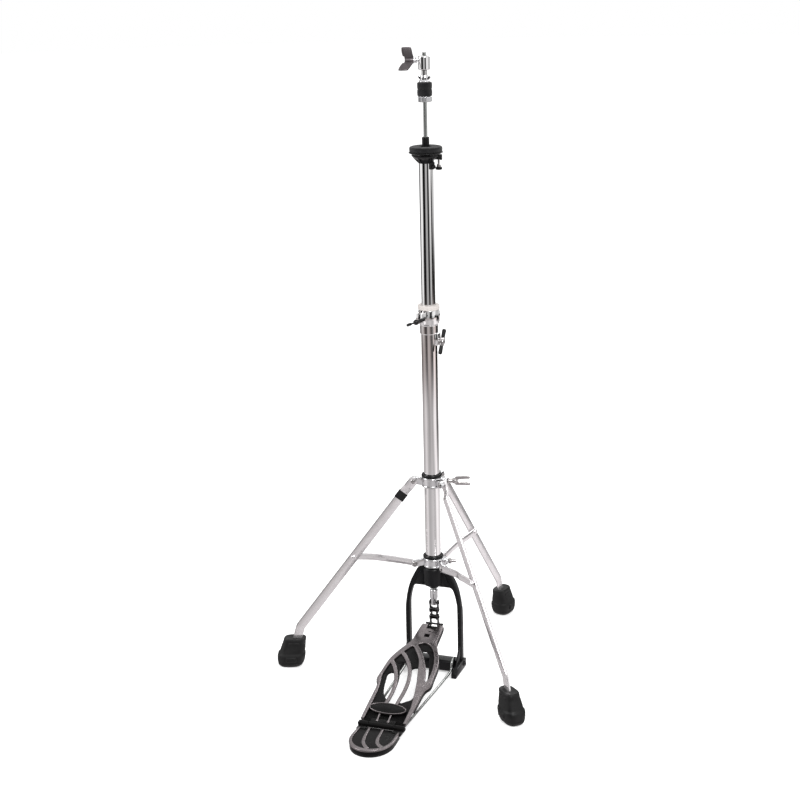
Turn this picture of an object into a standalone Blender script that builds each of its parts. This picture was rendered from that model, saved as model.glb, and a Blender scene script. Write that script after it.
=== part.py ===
"""Hi-hat stand with pedal: column, folding tripod, pull rod, pedal and clutch.

Units are metres, +Z is up and the pedal's heel points to -Y.  Everything is
modelled around the column's axis, and one empty then moves the whole stand so
that the middle of its footprint is the origin.
"""

import math

import bmesh
import bpy
from mathutils import Matrix, Vector

# Clearances
GAP = 0.0003
PIN_PLAY = 0.0003

# Column
LOWER_TUBE_R = 0.0127
LOWER_TUBE_WALL = 0.0012
LOWER_TUBE_Z = (0.1485, 0.5800)
UPPER_TUBE_R = 0.0111
UPPER_TUBE_WALL = 0.0010
UPPER_TUBE_Z = (0.3600, 0.8460)
RECEIVER_R = 0.0143
RECEIVER_Z = (0.5672, 0.5830)
ROD_R = 0.0030
ROD_Z = (0.1200, 1.0010)

# Pedal frame
FRAME_TOP_Z = 0.1745
FRAME_DEPTH = 0.012
FRAME_HALF_WIDTH = 0.0485
FOOT_BLOCK_X = (0.0432, 0.0520)
FOOT_BLOCK_Y = (-0.0480, 0.0080)
FOOT_BLOCK_H = 0.0140
CROSSBAR_Y = (-0.0310, -0.0140)
CROSSBAR_Z = (0.0030, 0.0210)
BOLT_Y = -0.0040
BOLT_Z = 0.0085

# Pedal
HINGE_Y = -0.2570
HINGE_Z = 0.0120
TOE_PIN_Z = 0.0715
BOARD_THICKNESS = 0.0036
BOARD_SKIRT = 0.0055
HEEL_HALF_WIDTH = 0.0350
HEEL_TIP_Y = -0.3370
CHAIN_PITCH = 0.0127
CHAIN_LINKS = 3

# Tripod
LEG_AZIMUTHS_DEG = (198.0, 78.0, 318.0)
SCREW_AZIMUTH_DEG = 18.0
LEG_PIVOT = (0.0303, 0.3236)
STRUT_PIVOT = (0.0303, 0.1797)
LEG_BEND = (0.2223, 0.0691)
LEG_TIP = (0.2335, 0.0300)
FOOT_CENTRE_R = 0.2400
RIVET_R = 0.1305
STRIP_WIDTH = 0.0150
STRUT_WIDTH = 0.0115
STRIP_THICK = 0.0040
PIVOT_PIN_R = 0.0024
UPPER_COLLAR_Z = (0.3134, 0.3296)
UPPER_RING_TOP_Z = 0.3350
LOWER_COLLAR_Z = (0.1755, 0.1903)
LOWER_RING_TOP_Z = 0.1955
COLLAR_R = 0.0165

# Seat, clutch and lock heights
SEAT_TILT_Z = 0.8490
SEAT_SCREW_DEG = 12.0
CLUTCH_SCREW_Z = 0.9892
CLUTCH_SCREW_DEG = 199.0
LOCK_Z = (0.5836, 0.6062)
LOCK_BAND_TOP_Z = 0.6137
LOCK_SCREW_DEG = 244.0
T_BOLT_Z = 0.5557
T_BOLT_DEG = -9.0

SEGMENTS = 20
WIDE_SEGMENTS = 24
FINE_SEGMENTS = 12
PIN_SEGMENTS = 8

COLOURS = {
    "chrome": ((0.83, 0.83, 0.84), 0.08, 1.0),
    "rod_steel": ((0.62, 0.66, 0.66), 0.22, 1.0),
    "black_powder": ((0.018, 0.018, 0.020), 0.38, 0.0),
    "pewter": ((0.29, 0.27, 0.27), 0.36, 1.0),
    "gunmetal": ((0.24, 0.22, 0.22), 0.34, 1.0),
    "black_rubber": ((0.016, 0.016, 0.017), 0.78, 0.0),
    "black_plastic": ((0.022, 0.022, 0.024), 0.42, 0.0),
    "cream_plastic": ((0.80, 0.77, 0.73), 0.45, 0.0),
    "felt": ((0.020, 0.020, 0.022), 0.95, 0.0),
    "dark_steel": ((0.09, 0.09, 0.095), 0.35, 1.0),
    "spring_steel": ((0.42, 0.42, 0.44), 0.30, 1.0),
}


# ---------------------------------------------------------------- helpers


def clear_scene():
    """Remove whatever the file holds."""
    for obj in list(bpy.data.objects):
        bpy.data.objects.remove(obj, do_unlink=True)


def material(key):
    """The shared Principled material of one finish."""
    found = bpy.data.materials.get(key)
    if found:
        return found
    colour, roughness, metallic = COLOURS[key]
    made = bpy.data.materials.new(key)
    made.use_nodes = True
    shader = made.node_tree.nodes["Principled BSDF"]
    shader.inputs["Base Color"].default_value = (*colour, 1.0)
    shader.inputs["Roughness"].default_value = roughness
    shader.inputs["Metallic"].default_value = metallic
    return made


def empty(name, parent=None, location=(0, 0, 0), rotation=(0, 0, 0)):
    """An empty that holds a joint's axis."""
    made = bpy.data.objects.new(name, None)
    bpy.context.collection.objects.link(made)
    made.location = location
    made.rotation_euler = rotation
    made.parent = parent
    return made


def link_mesh(name, bm, finish, parent=None, location=(0, 0, 0), smooth=True):
    """Turn a bmesh into a named object with outward faces."""
    bmesh.ops.recalc_face_normals(bm, faces=bm.faces)
    mesh = bpy.data.meshes.new(name)
    bm.to_mesh(mesh)
    bm.free()
    if smooth:
        mesh.shade_smooth()
        mesh.set_sharp_from_angle(angle=math.radians(35))
    made = bpy.data.objects.new(name, mesh)
    bpy.context.collection.objects.link(made)
    made.data.materials.append(material(finish))
    made.location = location
    made.parent = parent
    return made


def lathe(bm, profile, segments=SEGMENTS, matrix=None):
    """Turn a profile of (radius, height) points about Z.

    A profile that starts and ends on the axis makes a solid with poles, and
    any other profile is joined end to end, which makes a ring.
    """
    rings = []
    for radius, height in profile:
        if radius == 0:
            rings.append([bm.verts.new((0, 0, height))])
            continue
        ring = []
        for step in range(segments):
            turn = 2 * math.pi * step / segments
            point = (radius * math.cos(turn), radius * math.sin(turn), height)
            ring.append(bm.verts.new(point))
        rings.append(ring)
    pairs = list(zip(rings, rings[1:]))
    if profile[0][0] != 0:
        pairs.append((rings[-1], rings[0]))
    for low, high in pairs:
        for step in range(segments):
            after = (step + 1) % segments
            if len(low) == 1:
                bm.faces.new((low[0], high[step], high[after]))
            elif len(high) == 1:
                bm.faces.new((low[step], high[0], low[after]))
            else:
                bm.faces.new((low[step], high[step], high[after], low[after]))
    if matrix is not None:
        new = [vert for ring in rings for vert in ring]
        bmesh.ops.transform(bm, matrix=matrix, verts=new)


def turned(name, profile, finish, parent=None, location=(0, 0, 0), segments=SEGMENTS, matrix=None):
    """A turned piece of its own."""
    bm = bmesh.new()
    lathe(bm, profile, segments, matrix)
    return link_mesh(name, bm, finish, parent, location)


def ring_profile(inner, outer, low, high):
    """The rectangle that turns into a plain ring."""
    return [(outer, low), (outer, high), (inner, high), (inner, low)]


def rod_profile(radius, low, high, chamfer=0.0):
    """The half outline of a round bar, with chamfered ends when asked."""
    if chamfer == 0:
        return [(0, low), (radius, low), (radius, high), (0, high)]
    return [
        (0, low),
        (radius - chamfer, low),
        (radius, low + chamfer),
        (radius, high - chamfer),
        (radius - chamfer, high),
        (0, high),
    ]


def extrude_outline(bm, outline, low, high, matrix=None):
    """A prism from a closed outline in XY, between two heights."""
    bottom = [bm.verts.new((x, y, low)) for x, y in outline]
    top = [bm.verts.new((x, y, high)) for x, y in outline]
    bm.faces.new(list(reversed(bottom)))
    bm.faces.new(top)
    count = len(outline)
    for step in range(count):
        after = (step + 1) % count
        bm.faces.new((bottom[step], bottom[after], top[after], top[step]))
    if matrix is not None:
        bmesh.ops.transform(bm, matrix=matrix, verts=bottom + top)


def box(bm, low, high, matrix=None):
    """An axis-aligned block between two corners."""
    outline = [(low[0], low[1]), (high[0], low[1]), (high[0], high[1]), (low[0], high[1])]
    extrude_outline(bm, outline, low[2], high[2], matrix)


def sweep(bm, path, radius, sides=8, closed=False):
    """A round bar along a smooth path, with flat ends."""
    count = len(path)
    points = [Vector(point) for point in path]
    rings = []
    normal = None
    for step, point in enumerate(points):
        before = points[(step - 1) % count] if closed or step > 0 else point
        after = points[(step + 1) % count] if closed or step < count - 1 else point
        along = (after - before).normalized()
        if normal is None:
            helper = Vector((0, 0, 1)) if abs(along.z) < 0.9 else Vector((1, 0, 0))
            normal = along.cross(helper).normalized()
        normal = (normal - along * normal.dot(along)).normalized()
        side = along.cross(normal)
        ring = []
        for turn_step in range(sides):
            turn = 2 * math.pi * turn_step / sides
            offset = normal * math.cos(turn) + side * math.sin(turn)
            ring.append(bm.verts.new(point + offset * radius))
        rings.append(ring)
    pairs = list(zip(rings, rings[1:]))
    if closed:
        pairs.append((rings[-1], rings[0]))
    for low, high in pairs:
        for step in range(sides):
            after = (step + 1) % sides
            bm.faces.new((low[step], low[after], high[after], high[step]))
    if not closed:
        bm.faces.new(list(reversed(rings[0])))
        bm.faces.new(rings[-1])


def solid(shape, *args, **kwargs):
    """A new bmesh that holds one shape, ready for combine()."""
    bm = bmesh.new()
    shape(bm, *args, **kwargs)
    bmesh.ops.recalc_face_normals(bm, faces=bm.faces)
    return bm


def combine(name, base, finish, add=(), cut=(), parent=None, location=(0, 0, 0)):
    """Join and cut closed shapes with Booleans, and keep the finished mesh."""
    made = link_mesh(name, base, finish, parent, location, smooth=False)
    helpers = []
    for operation, shapes in (("UNION", add), ("DIFFERENCE", cut)):
        for shape in shapes:
            helper = link_mesh(f"{name}_helper", shape, finish, parent, location, smooth=False)
            helper.hide_render = True
            helper.display_type = "WIRE"
            modifier = made.modifiers.new(operation.title(), "BOOLEAN")
            modifier.operation = operation
            modifier.solver = "EXACT"
            modifier.object = helper
            helpers.append(helper)
    bpy.context.view_layer.update()
    evaluated = made.evaluated_get(bpy.context.evaluated_depsgraph_get())
    mesh = bpy.data.meshes.new_from_object(evaluated)
    made.modifiers.clear()
    mesh.name = name
    mesh.shade_smooth()
    mesh.set_sharp_from_angle(angle=math.radians(35))
    made.data = mesh
    for helper in helpers:
        bpy.data.objects.remove(helper, do_unlink=True)
    return made


def radial(degrees, height):
    """A matrix whose +Z points outwards from the column at an azimuth."""
    turn = Matrix.Rotation(math.radians(degrees), 4, "Z")
    return Matrix.Translation((0, 0, height)) @ turn @ Matrix.Rotation(math.pi / 2, 4, "Y")


def across(x, y, z):
    """A matrix whose +Z points along +X, for pins that lie across."""
    return Matrix.Translation((x, y, z)) @ Matrix.Rotation(math.pi / 2, 4, "Y")


def tangent(point, offset=0.0):
    """A matrix whose +Z points along +Y, at a point of the radial plane."""
    place = Matrix.Translation((point[0], offset, point[1]))
    return place @ Matrix.Rotation(-math.pi / 2, 4, "X")


def arc(centre, radius, start, end, steps):
    """Points of a circular arc, angles in degrees."""
    points = []
    for step in range(steps + 1):
        turn = math.radians(start + (end - start) * step / steps)
        points.append((centre[0] + radius * math.cos(turn), centre[1] + radius * math.sin(turn)))
    return points


def mirrored(half):
    """Close an outline given for +X only, running from the top down."""
    return half + [(-x, y) for x, y in reversed(half)]


# ---------------------------------------------------------------- column


def build_column(root):
    """The fixed lower tube with the receiver that clamps the upper tube."""
    low, high = LOWER_TUBE_Z
    turned(
        "lower_tube",
        ring_profile(LOWER_TUBE_R - LOWER_TUBE_WALL, LOWER_TUBE_R, low, high),
        "chrome",
        root,
    )
    bore = LOWER_TUBE_R + GAP
    turn = Matrix.Rotation(math.radians(T_BOLT_DEG), 4, "Z")
    boss_low = (LOWER_TUBE_R - 0.002, -0.0055, T_BOLT_Z - 0.0060)
    boss_high = (0.0180, 0.0055, RECEIVER_Z[0] + 0.0022)
    screw_hole = rod_profile(0.0032, 0.0100, 0.0300)
    combine(
        "tube_receiver",
        solid(lathe, rod_profile(RECEIVER_R, *RECEIVER_Z, 0.0006)),
        "chrome",
        add=[solid(box, boss_low, boss_high, turn)],
        cut=[
            solid(lathe, rod_profile(bore, 0.5400, LOWER_TUBE_Z[1] + GAP)),
            solid(lathe, rod_profile(UPPER_TUBE_R + GAP, 0.5500, 0.6000), SEGMENTS),
            solid(lathe, screw_hole, FINE_SEGMENTS, radial(T_BOLT_DEG, T_BOLT_Z)),
        ],
        parent=root,
    )


def build_t_bolt(root):
    """The height bolt: a T handle with two sleeved arms."""
    axis = empty("height_t_bolt_axis", root, (0, 0, 0))
    place = radial(T_BOLT_DEG, T_BOLT_Z)
    lean = Matrix.Rotation(math.radians(-24), 4, "Z")
    arms = place @ Matrix.Translation((0, 0, 0.0225)) @ lean @ Matrix.Rotation(math.pi / 2, 4, "Y")
    combine(
        "height_t_bolt",
        solid(lathe, rod_profile(0.0029, LOWER_TUBE_R + GAP, 0.0200), FINE_SEGMENTS, place),
        "chrome",
        add=[
            solid(lathe, rod_profile(0.0050, 0.0184, 0.0268, 0.001), FINE_SEGMENTS, place),
            solid(lathe, rod_profile(0.0030, -0.0205, 0.0205, 0.0015), PIN_SEGMENTS, arms),
        ],
        parent=axis,
    )


def build_upper_tube(root):
    """The sliding tube and the cup base fixed on its end."""
    low, high = UPPER_TUBE_Z
    slide = empty("upper_tube_slide", root)
    turned(
        "upper_tube",
        ring_profile(UPPER_TUBE_R - UPPER_TUBE_WALL, UPPER_TUBE_R, low, high - 0.0080),
        "chrome",
        slide,
    )
    base = [
        (0, 0.8350),
        (0.0122, 0.8350),
        (0.0122, 0.8392),
        (0.0185, 0.8434),
        (0.0222, 0.8462),
        (0.0222, 0.8478),
        (0, 0.8478),
    ]
    bracket = Matrix.Rotation(math.radians(SEAT_SCREW_DEG), 4, "Z")
    screw = bracket @ Matrix.Translation((0.0195, 0, 0))
    set_side = SEAT_SCREW_DEG - 38
    set_turn = Matrix.Rotation(math.radians(set_side), 4, "Z")
    combine(
        "seat_base",
        solid(lathe, base),
        "black_plastic",
        add=[
            solid(box, (0.0120, -0.0045, 0.8405), (0.0245, 0.0045, 0.8475), bracket),
            solid(box, (0.0100, -0.0040, 0.8262), (0.0150, 0.0040, 0.8372), set_turn),
        ],
        cut=[
            solid(lathe, rod_profile(0.0019, 0.8300, 0.8500), PIN_SEGMENTS, screw),
            solid(lathe, rod_profile(UPPER_TUBE_R + GAP, 0.8200, 0.8383)),
            solid(lathe, rod_profile(0.0050, 0.8300, 0.8600), SEGMENTS),
            solid(lathe, rod_profile(0.0019, 0.0090, 0.0200), PIN_SEGMENTS, radial(set_side, 0.8305)),
        ],
        parent=slide,
    )
    guide = ring_profile(ROD_R + 0.0005, UPPER_TUBE_R - UPPER_TUBE_WALL - GAP, 0.8100, 0.8375)
    turned("rod_guide", guide, "black_plastic", slide, segments=SEGMENTS)
    build_seat_set_screw(slide)
    build_seat(slide)
    return slide


def build_seat_set_screw(slide):
    """The little knurled screw that locks the cup base to the tube."""
    place = radial(SEAT_SCREW_DEG - 38, 0.8305)
    profile = [
        (0, UPPER_TUBE_R + GAP),
        (0.0016, UPPER_TUBE_R + GAP),
        (0.0016, 0.0153),
        (0.0027, 0.0153),
        (0.0027, 0.0182),
        (0, 0.0182),
    ]
    turned("seat_set_screw", profile, "black_plastic", slide, segments=PIN_SEGMENTS, matrix=place)


def build_seat(slide):
    """The tilting cup, its felt, the sleeve and the tilt screw."""
    far_side = math.radians(SEAT_SCREW_DEG + 180)
    pivot = Vector((0.0215 * math.cos(far_side), 0.0215 * math.sin(far_side), SEAT_TILT_Z))
    tilt = empty("seat_tilt_axis", slide, pivot)
    centre = Matrix.Translation((-pivot.x, -pivot.y, 0))
    cup = [
        (0.0230, 0.0004),
        (0.0262, 0.0012),
        (0.0262, 0.0030),
        (0.0080, 0.0030),
        (0.0080, 0.0004),
    ]
    turned("seat_cup", cup, "black_plastic", tilt, segments=WIDE_SEGMENTS, matrix=centre)
    felt = [
        (0.0246, 0.0033),
        (0.0254, 0.0042),
        (0.0254, 0.0103),
        (0.0246, 0.0113),
        (0.0080, 0.0113),
        (0.0080, 0.0033),
    ]
    turned("seat_felt", felt, "felt", tilt, segments=WIDE_SEGMENTS, matrix=centre)
    sleeve = [
        (0.0056, 0.8481),
        (0.0056, 0.8738),
        (0.0050, 0.8744),
        (0.0035, 0.8744),
        (0.0035, 0.8481),
    ]
    turned("seat_sleeve", sleeve, "black_plastic", slide, segments=SEGMENTS)
    screw_axis = empty("tilt_screw_axis", slide)
    turn = Matrix.Rotation(math.radians(SEAT_SCREW_DEG), 4, "Z")
    profile = [
        (0, 0.8245),
        (0.0042, 0.8245),
        (0.0048, 0.8251),
        (0.0048, 0.8288),
        (0.0032, 0.8300),
        (0.0032, 0.8330),
        (0.0016, 0.8330),
        (0.0016, 0.8490),
        (0, 0.8490),
    ]
    place = turn @ Matrix.Translation((0.0195, 0, 0))
    turned("tilt_screw", profile, "dark_steel", screw_axis, segments=PIN_SEGMENTS, matrix=place)


def build_memory_lock(root):
    """The hinged clamp that sits on the receiver and remembers the height."""
    lock = empty("memory_lock_slide", root)
    bore = UPPER_TUBE_R + GAP
    turn = Matrix.Rotation(math.radians(LOCK_SCREW_DEG), 4, "Z")
    low, high = LOCK_Z
    combine(
        "memory_lock",
        solid(lathe, rod_profile(0.0163, low, high, 0.0006), SEGMENTS),
        "chrome",
        add=[solid(box, (0.0130, -0.0085, low + 0.0012), (0.0212, 0.0085, high - 0.0016), turn)],
        cut=[
            solid(box, (0.0050, -0.0012, low - 0.001), (0.0230, 0.0012, high + 0.001), turn @ Matrix.Rotation(math.radians(32), 4, "Z")),
            solid(lathe, rod_profile(0.0029, 0.0100, 0.0300), FINE_SEGMENTS, radial(LOCK_SCREW_DEG, 0.5900)),
            solid(lathe, rod_profile(bore, low - 0.002, high + 0.002), SEGMENTS),
        ],
        parent=lock,
    )
    band = [
        (0.0168, high + GAP),
        (0.0172, high + 0.0012),
        (0.0172, LOCK_BAND_TOP_Z - 0.0010),
        (0.0164, LOCK_BAND_TOP_Z),
        (bore, LOCK_BAND_TOP_Z),
        (bore, high + GAP),
    ]
    turned("lock_collar", band, "cream_plastic", lock)
    build_lock_handle(lock)
    return lock


def build_lock_handle(lock):
    """The memory lock's T screw with sleeved tips."""
    axis = empty("lock_handle_axis", lock)
    place = radial(LOCK_SCREW_DEG, 0.5900)
    lean = Matrix.Rotation(math.radians(-68), 4, "Z")
    arms = place @ Matrix.Translation((0, 0, 0.0290)) @ lean @ Matrix.Rotation(math.pi / 2, 4, "Y")
    bar = [
        (0, -0.0210),
        (0.0016, -0.0210),
        (0.0023, -0.0203),
        (0.0023, -0.0120),
        (0.0013, -0.0115),
        (0.0013, 0.0115),
        (0.0023, 0.0120),
        (0.0023, 0.0203),
        (0.0016, 0.0210),
        (0, 0.0210),
    ]
    combine(
        "memory_lock_handle",
        solid(lathe, rod_profile(0.0026, UPPER_TUBE_R + 2 * GAP, 0.0270), FINE_SEGMENTS, place),
        "chrome",
        add=[
            solid(lathe, rod_profile(0.0048, 0.0262, 0.0318, 0.001), FINE_SEGMENTS, place),
            solid(lathe, bar, PIN_SEGMENTS, arms),
        ],
        parent=axis,
    )


# ---------------------------------------------------------------- pull rod


def build_pull_rod(root):
    """The rod with its clevis, and the chain's upper pin."""
    rod = empty("pull_rod_slide", root)
    turned("pull_rod", rod_profile(ROD_R, ROD_Z[0], ROD_Z[1], 0.0006), "rod_steel", rod, segments=FINE_SEGMENTS)
    clevis_pin_z = TOE_PIN_Z + CHAIN_LINKS * CHAIN_PITCH
    tongue = arc((0, clevis_pin_z), 0.0046, 180, 360, 8)
    tongue += [(0.0046, 0.1200), (-0.0046, 0.1200)]
    stand_up = Matrix.Rotation(math.pi / 2, 4, "X")
    combine(
        "rod_clevis",
        solid(lathe, rod_profile(0.0066, 0.1175, 0.1338, 0.0008), SEGMENTS),
        "chrome",
        add=[solid(extrude_outline, tongue, -0.0034, 0.0034, Matrix.Rotation(math.pi / 2, 4, "Z") @ stand_up)],
        cut=[
            solid(lathe, rod_profile(ROD_R + GAP, ROD_Z[0] - GAP, 0.1400), SEGMENTS),
            solid(lathe, rod_profile(0.0017 + PIN_PLAY, -0.0200, 0.0200), PIN_SEGMENTS, across(0, 0, clevis_pin_z)),
            solid(lathe, rod_profile(0.0014, -0.0100, 0.0100), PIN_SEGMENTS, Matrix.Translation((0, 0, 0.1285)) @ Matrix.Rotation(math.pi / 2, 4, "X")),
        ],
        parent=rod,
    )
    cap = [
        (ROD_R + GAP, 0.2600),
        (0.0070, 0.2600),
        (0.0070, 0.2560),
        (0.0094, 0.2560),
        (0.0094, 0.2640),
        (ROD_R + GAP, 0.2640),
    ]
    turned("spring_cap", cap, "spring_steel", rod, segments=SEGMENTS)
    return rod


def link_plate(bm, top_z, x, width, thick):
    """One chain side plate between two pins, standing in the YZ plane."""
    half = width / 2
    waist = half * 0.72
    low_z = top_z - CHAIN_PITCH
    outline = arc((0, top_z), half, -40, 220, 6)
    outline.append((-waist, (top_z + low_z) / 2))
    outline += arc((0, low_z), half, 140, 400, 6)
    outline.append((waist, (top_z + low_z) / 2))
    stand = Matrix.Translation((x, 0, 0)) @ Matrix.Rotation(math.pi / 2, 4, "Z") @ Matrix.Rotation(math.pi / 2, 4, "X")
    extrude_outline(bm, outline, -thick / 2, thick / 2, stand)


def chain_link(name, top, number, x, pins, holes, finish_parent):
    """One link: two side plates, joined by its pins or by its bushes."""
    upper_z = top - number * CHAIN_PITCH
    lower = Matrix.Translation((0, 0, -top))
    base = bmesh.new()
    link_plate(base, upper_z, x, 0.0104, 0.0015)
    other = solid(link_plate, upper_z, -x, 0.0104, 0.0015)
    bars = []
    for step, radius, reach in pins:
        bar = rod_profile(radius, -reach, reach, 0.0003)
        bars.append(solid(lathe, bar, PIN_SEGMENTS + 2, across(0, 0, upper_z - step * CHAIN_PITCH)))
    bores = []
    for step, radius in holes:
        bore = rod_profile(radius, -0.0200, 0.0200)
        bores.append(solid(lathe, bore, PIN_SEGMENTS, across(0, 0, upper_z - step * CHAIN_PITCH)))
    bmesh.ops.recalc_face_normals(base, faces=base.faces)
    for shape in [base, other] + bars + bores:
        shape.transform(lower)
    combine(name, base, "dark_steel", add=bars + [other], cut=bores, parent=finish_parent)


def build_chain(root):
    """Three roller chain links: outer, inner, outer."""
    top = TOE_PIN_Z + CHAIN_LINKS * CHAIN_PITCH
    chain = empty("chain_swing_axis", root, (0, 0, top))
    pin = (0.0017, 0.0079)
    bush = (0.0038, 0.0047)
    chain_link("chain_link_top", top, 0, 0.0065, [(0, *pin), (1, *pin)], [], chain)
    play = 0.0017 + PIN_PLAY
    chain_link("chain_link_middle", top, 1, 0.0047, [(0, *bush), (1, *bush)], [(0, play), (1, play)], chain)
    chain_link("chain_link_bottom", top, 2, 0.0065, [(0, *pin)], [(1, 0.0031)], chain)
    return chain


def build_return_spring(root):
    """The coil in the lower tube, between its fixed seat and the rod's cap."""
    seat = [
        (ROD_R + 0.0005, 0.1490),
        (LOWER_TUBE_R - LOWER_TUBE_WALL - GAP, 0.1490),
        (LOWER_TUBE_R - LOWER_TUBE_WALL - GAP, 0.1540),
        (0.0070, 0.1540),
        (0.0058, 0.1620),
        (ROD_R + 0.0005, 0.1620),
    ]
    turned("spring_seat", seat, "spring_steel", root, segments=SEGMENTS)
    wire = 0.0009
    low = 0.1540 + GAP + wire
    high = 0.2560 - GAP - wire
    turns = 9
    steps = turns * 10
    path = []
    for step in range(steps + 1):
        turn = 2 * math.pi * step / 10
        height = low + (high - low) * step / steps
        path.append((0.0083 * math.cos(turn), 0.0083 * math.sin(turn), height))
    bm = bmesh.new()
    sweep(bm, path, wire, 4)
    link_mesh("return_spring", bm, "spring_steel", root)


# ---------------------------------------------------------------- clutch


def build_clutch(rod):
    """The clutch that grips the rod, with its felts and nuts."""
    clutch = empty("clutch_slide", rod)
    bore = ROD_R + GAP
    body = [
        (0.0042, 0.9275),
        (0.0042, 0.9745),
        (0.0082, 0.9748),
        (0.0090, 0.9760),
        (0.0090, 0.9942),
        (0.0080, 0.9956),
        (bore, 0.9956),
        (bore, 0.9275),
    ]
    combine(
        "clutch_body",
        solid(lathe, body, SEGMENTS),
        "chrome",
        cut=[solid(lathe, rod_profile(0.0024 + GAP, 0.0, 0.0150), PIN_SEGMENTS, radial(CLUTCH_SCREW_DEG, CLUTCH_SCREW_Z))],
        parent=clutch,
    )
    fit = 0.0042 + GAP
    nuts = [
        solid(box, (-0.0098, -0.0016, 0.9585), (0.0098, 0.0016, 0.9655)),
        solid(lathe, rod_profile(0.0066, 0.9615, 0.9672, 0.0005), FINE_SEGMENTS),
    ]
    combine(
        "clutch_top_nut",
        solid(lathe, rod_profile(0.0084, 0.9566, 0.9618, 0.0005), 6),
        "chrome",
        add=nuts,
        cut=[solid(lathe, rod_profile(fit, 0.9500, 0.9700), FINE_SEGMENTS)],
        parent=clutch,
    )
    for name, low, high in (("clutch_felt_upper", 0.9464, 0.9563), ("clutch_felt_lower", 0.9361, 0.9461)):
        felt = [
            (0.0108, low),
            (0.0113, low + 0.0008),
            (0.0113, high - 0.0008),
            (0.0108, high),
            (fit, high),
            (fit, low),
        ]
        turned(name, felt, "felt", clutch, segments=SEGMENTS)
    nut_axis = empty("clutch_bottom_nut_axis", clutch)
    nut = [
        (0.0098, 0.9270),
        (0.0105, 0.9277),
        (0.0105, 0.9350),
        (0.0098, 0.9358),
        (fit, 0.9358),
        (fit, 0.9270),
    ]
    turned("clutch_bottom_nut", nut, "chrome", nut_axis, segments=SEGMENTS)
    build_clutch_screw(clutch)
    return clutch


def wing(bm, place, angle, start, length, reach, thick=0.0026):
    """One flat wing of a thumb screw: start and length run along the screw."""
    outline = [
        (0.0012, start),
        (reach * 0.55, start),
        (reach, start + length * 0.16),
        (reach, start + length * 0.88),
        (reach * 0.92, start + length),
        (reach * 0.30, start + length),
        (0.0012, start + length * 0.72),
    ]
    turn = Matrix.Rotation(math.radians(angle), 4, "Z") @ Matrix.Rotation(math.pi / 2, 4, "X")
    extrude_outline(bm, outline, -thick / 2, thick / 2, place @ turn)


def build_clutch_screw(clutch):
    """The clutch's wing screw: one wing stands up, the other leans forward."""
    axis = empty("clutch_wing_screw_axis", clutch)
    place = radial(CLUTCH_SCREW_DEG, CLUTCH_SCREW_Z)
    combine(
        "clutch_wing_screw",
        solid(lathe, rod_profile(0.0024, ROD_R + 2 * GAP, 0.0200), PIN_SEGMENTS, place),
        "gunmetal",
        add=[
            solid(lathe, rod_profile(0.0046, 0.0122, 0.0292, 0.0008), FINE_SEGMENTS, place),
            solid(wing, place, 180, 0.0160, 0.0165, 0.0200),
            solid(wing, place, 48, 0.0160, 0.0165, 0.0200),
        ],
        parent=axis,
    )


# ---------------------------------------------------------------- pedal frame


def frame_outline():
    """The yoke seen from the front: arch outside, opening inside."""
    outer = [
        (0.0215, FRAME_TOP_Z),
        (0.0262, 0.1700),
        (0.0330, 0.1580),
        (0.0392, 0.1445),
        (0.0440, 0.1280),
        (0.0468, 0.1120),
        (FRAME_HALF_WIDTH, 0.0900),
        (FRAME_HALF_WIDTH, 0.0040),
    ]
    inner = [
        (0.0412, 0.0040),
        (0.0412, 0.0950),
        (0.0400, 0.1150),
        (0.0362, 0.1310),
        (0.0330, 0.1380),
        (0.0290, 0.1405),
    ]
    return mirrored(outer + inner)


def foot_block(bm, side):
    """One frame foot: a low block that runs forward to the radius rod."""
    near, far = FOOT_BLOCK_X
    front, back = FOOT_BLOCK_Y
    outline = [
        (front, 0.0),
        (back, 0.0),
        (back, FOOT_BLOCK_H),
        (front + 0.0140, FOOT_BLOCK_H),
        (front, FOOT_BLOCK_H - 0.0050),
    ]
    stand = Matrix.Rotation(math.pi / 2, 4, "Z") @ Matrix.Rotation(math.pi / 2, 4, "X")
    low, high = (near, far) if side > 0 else (-far, -near)
    extrude_outline(bm, outline, low, high, stand)


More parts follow.
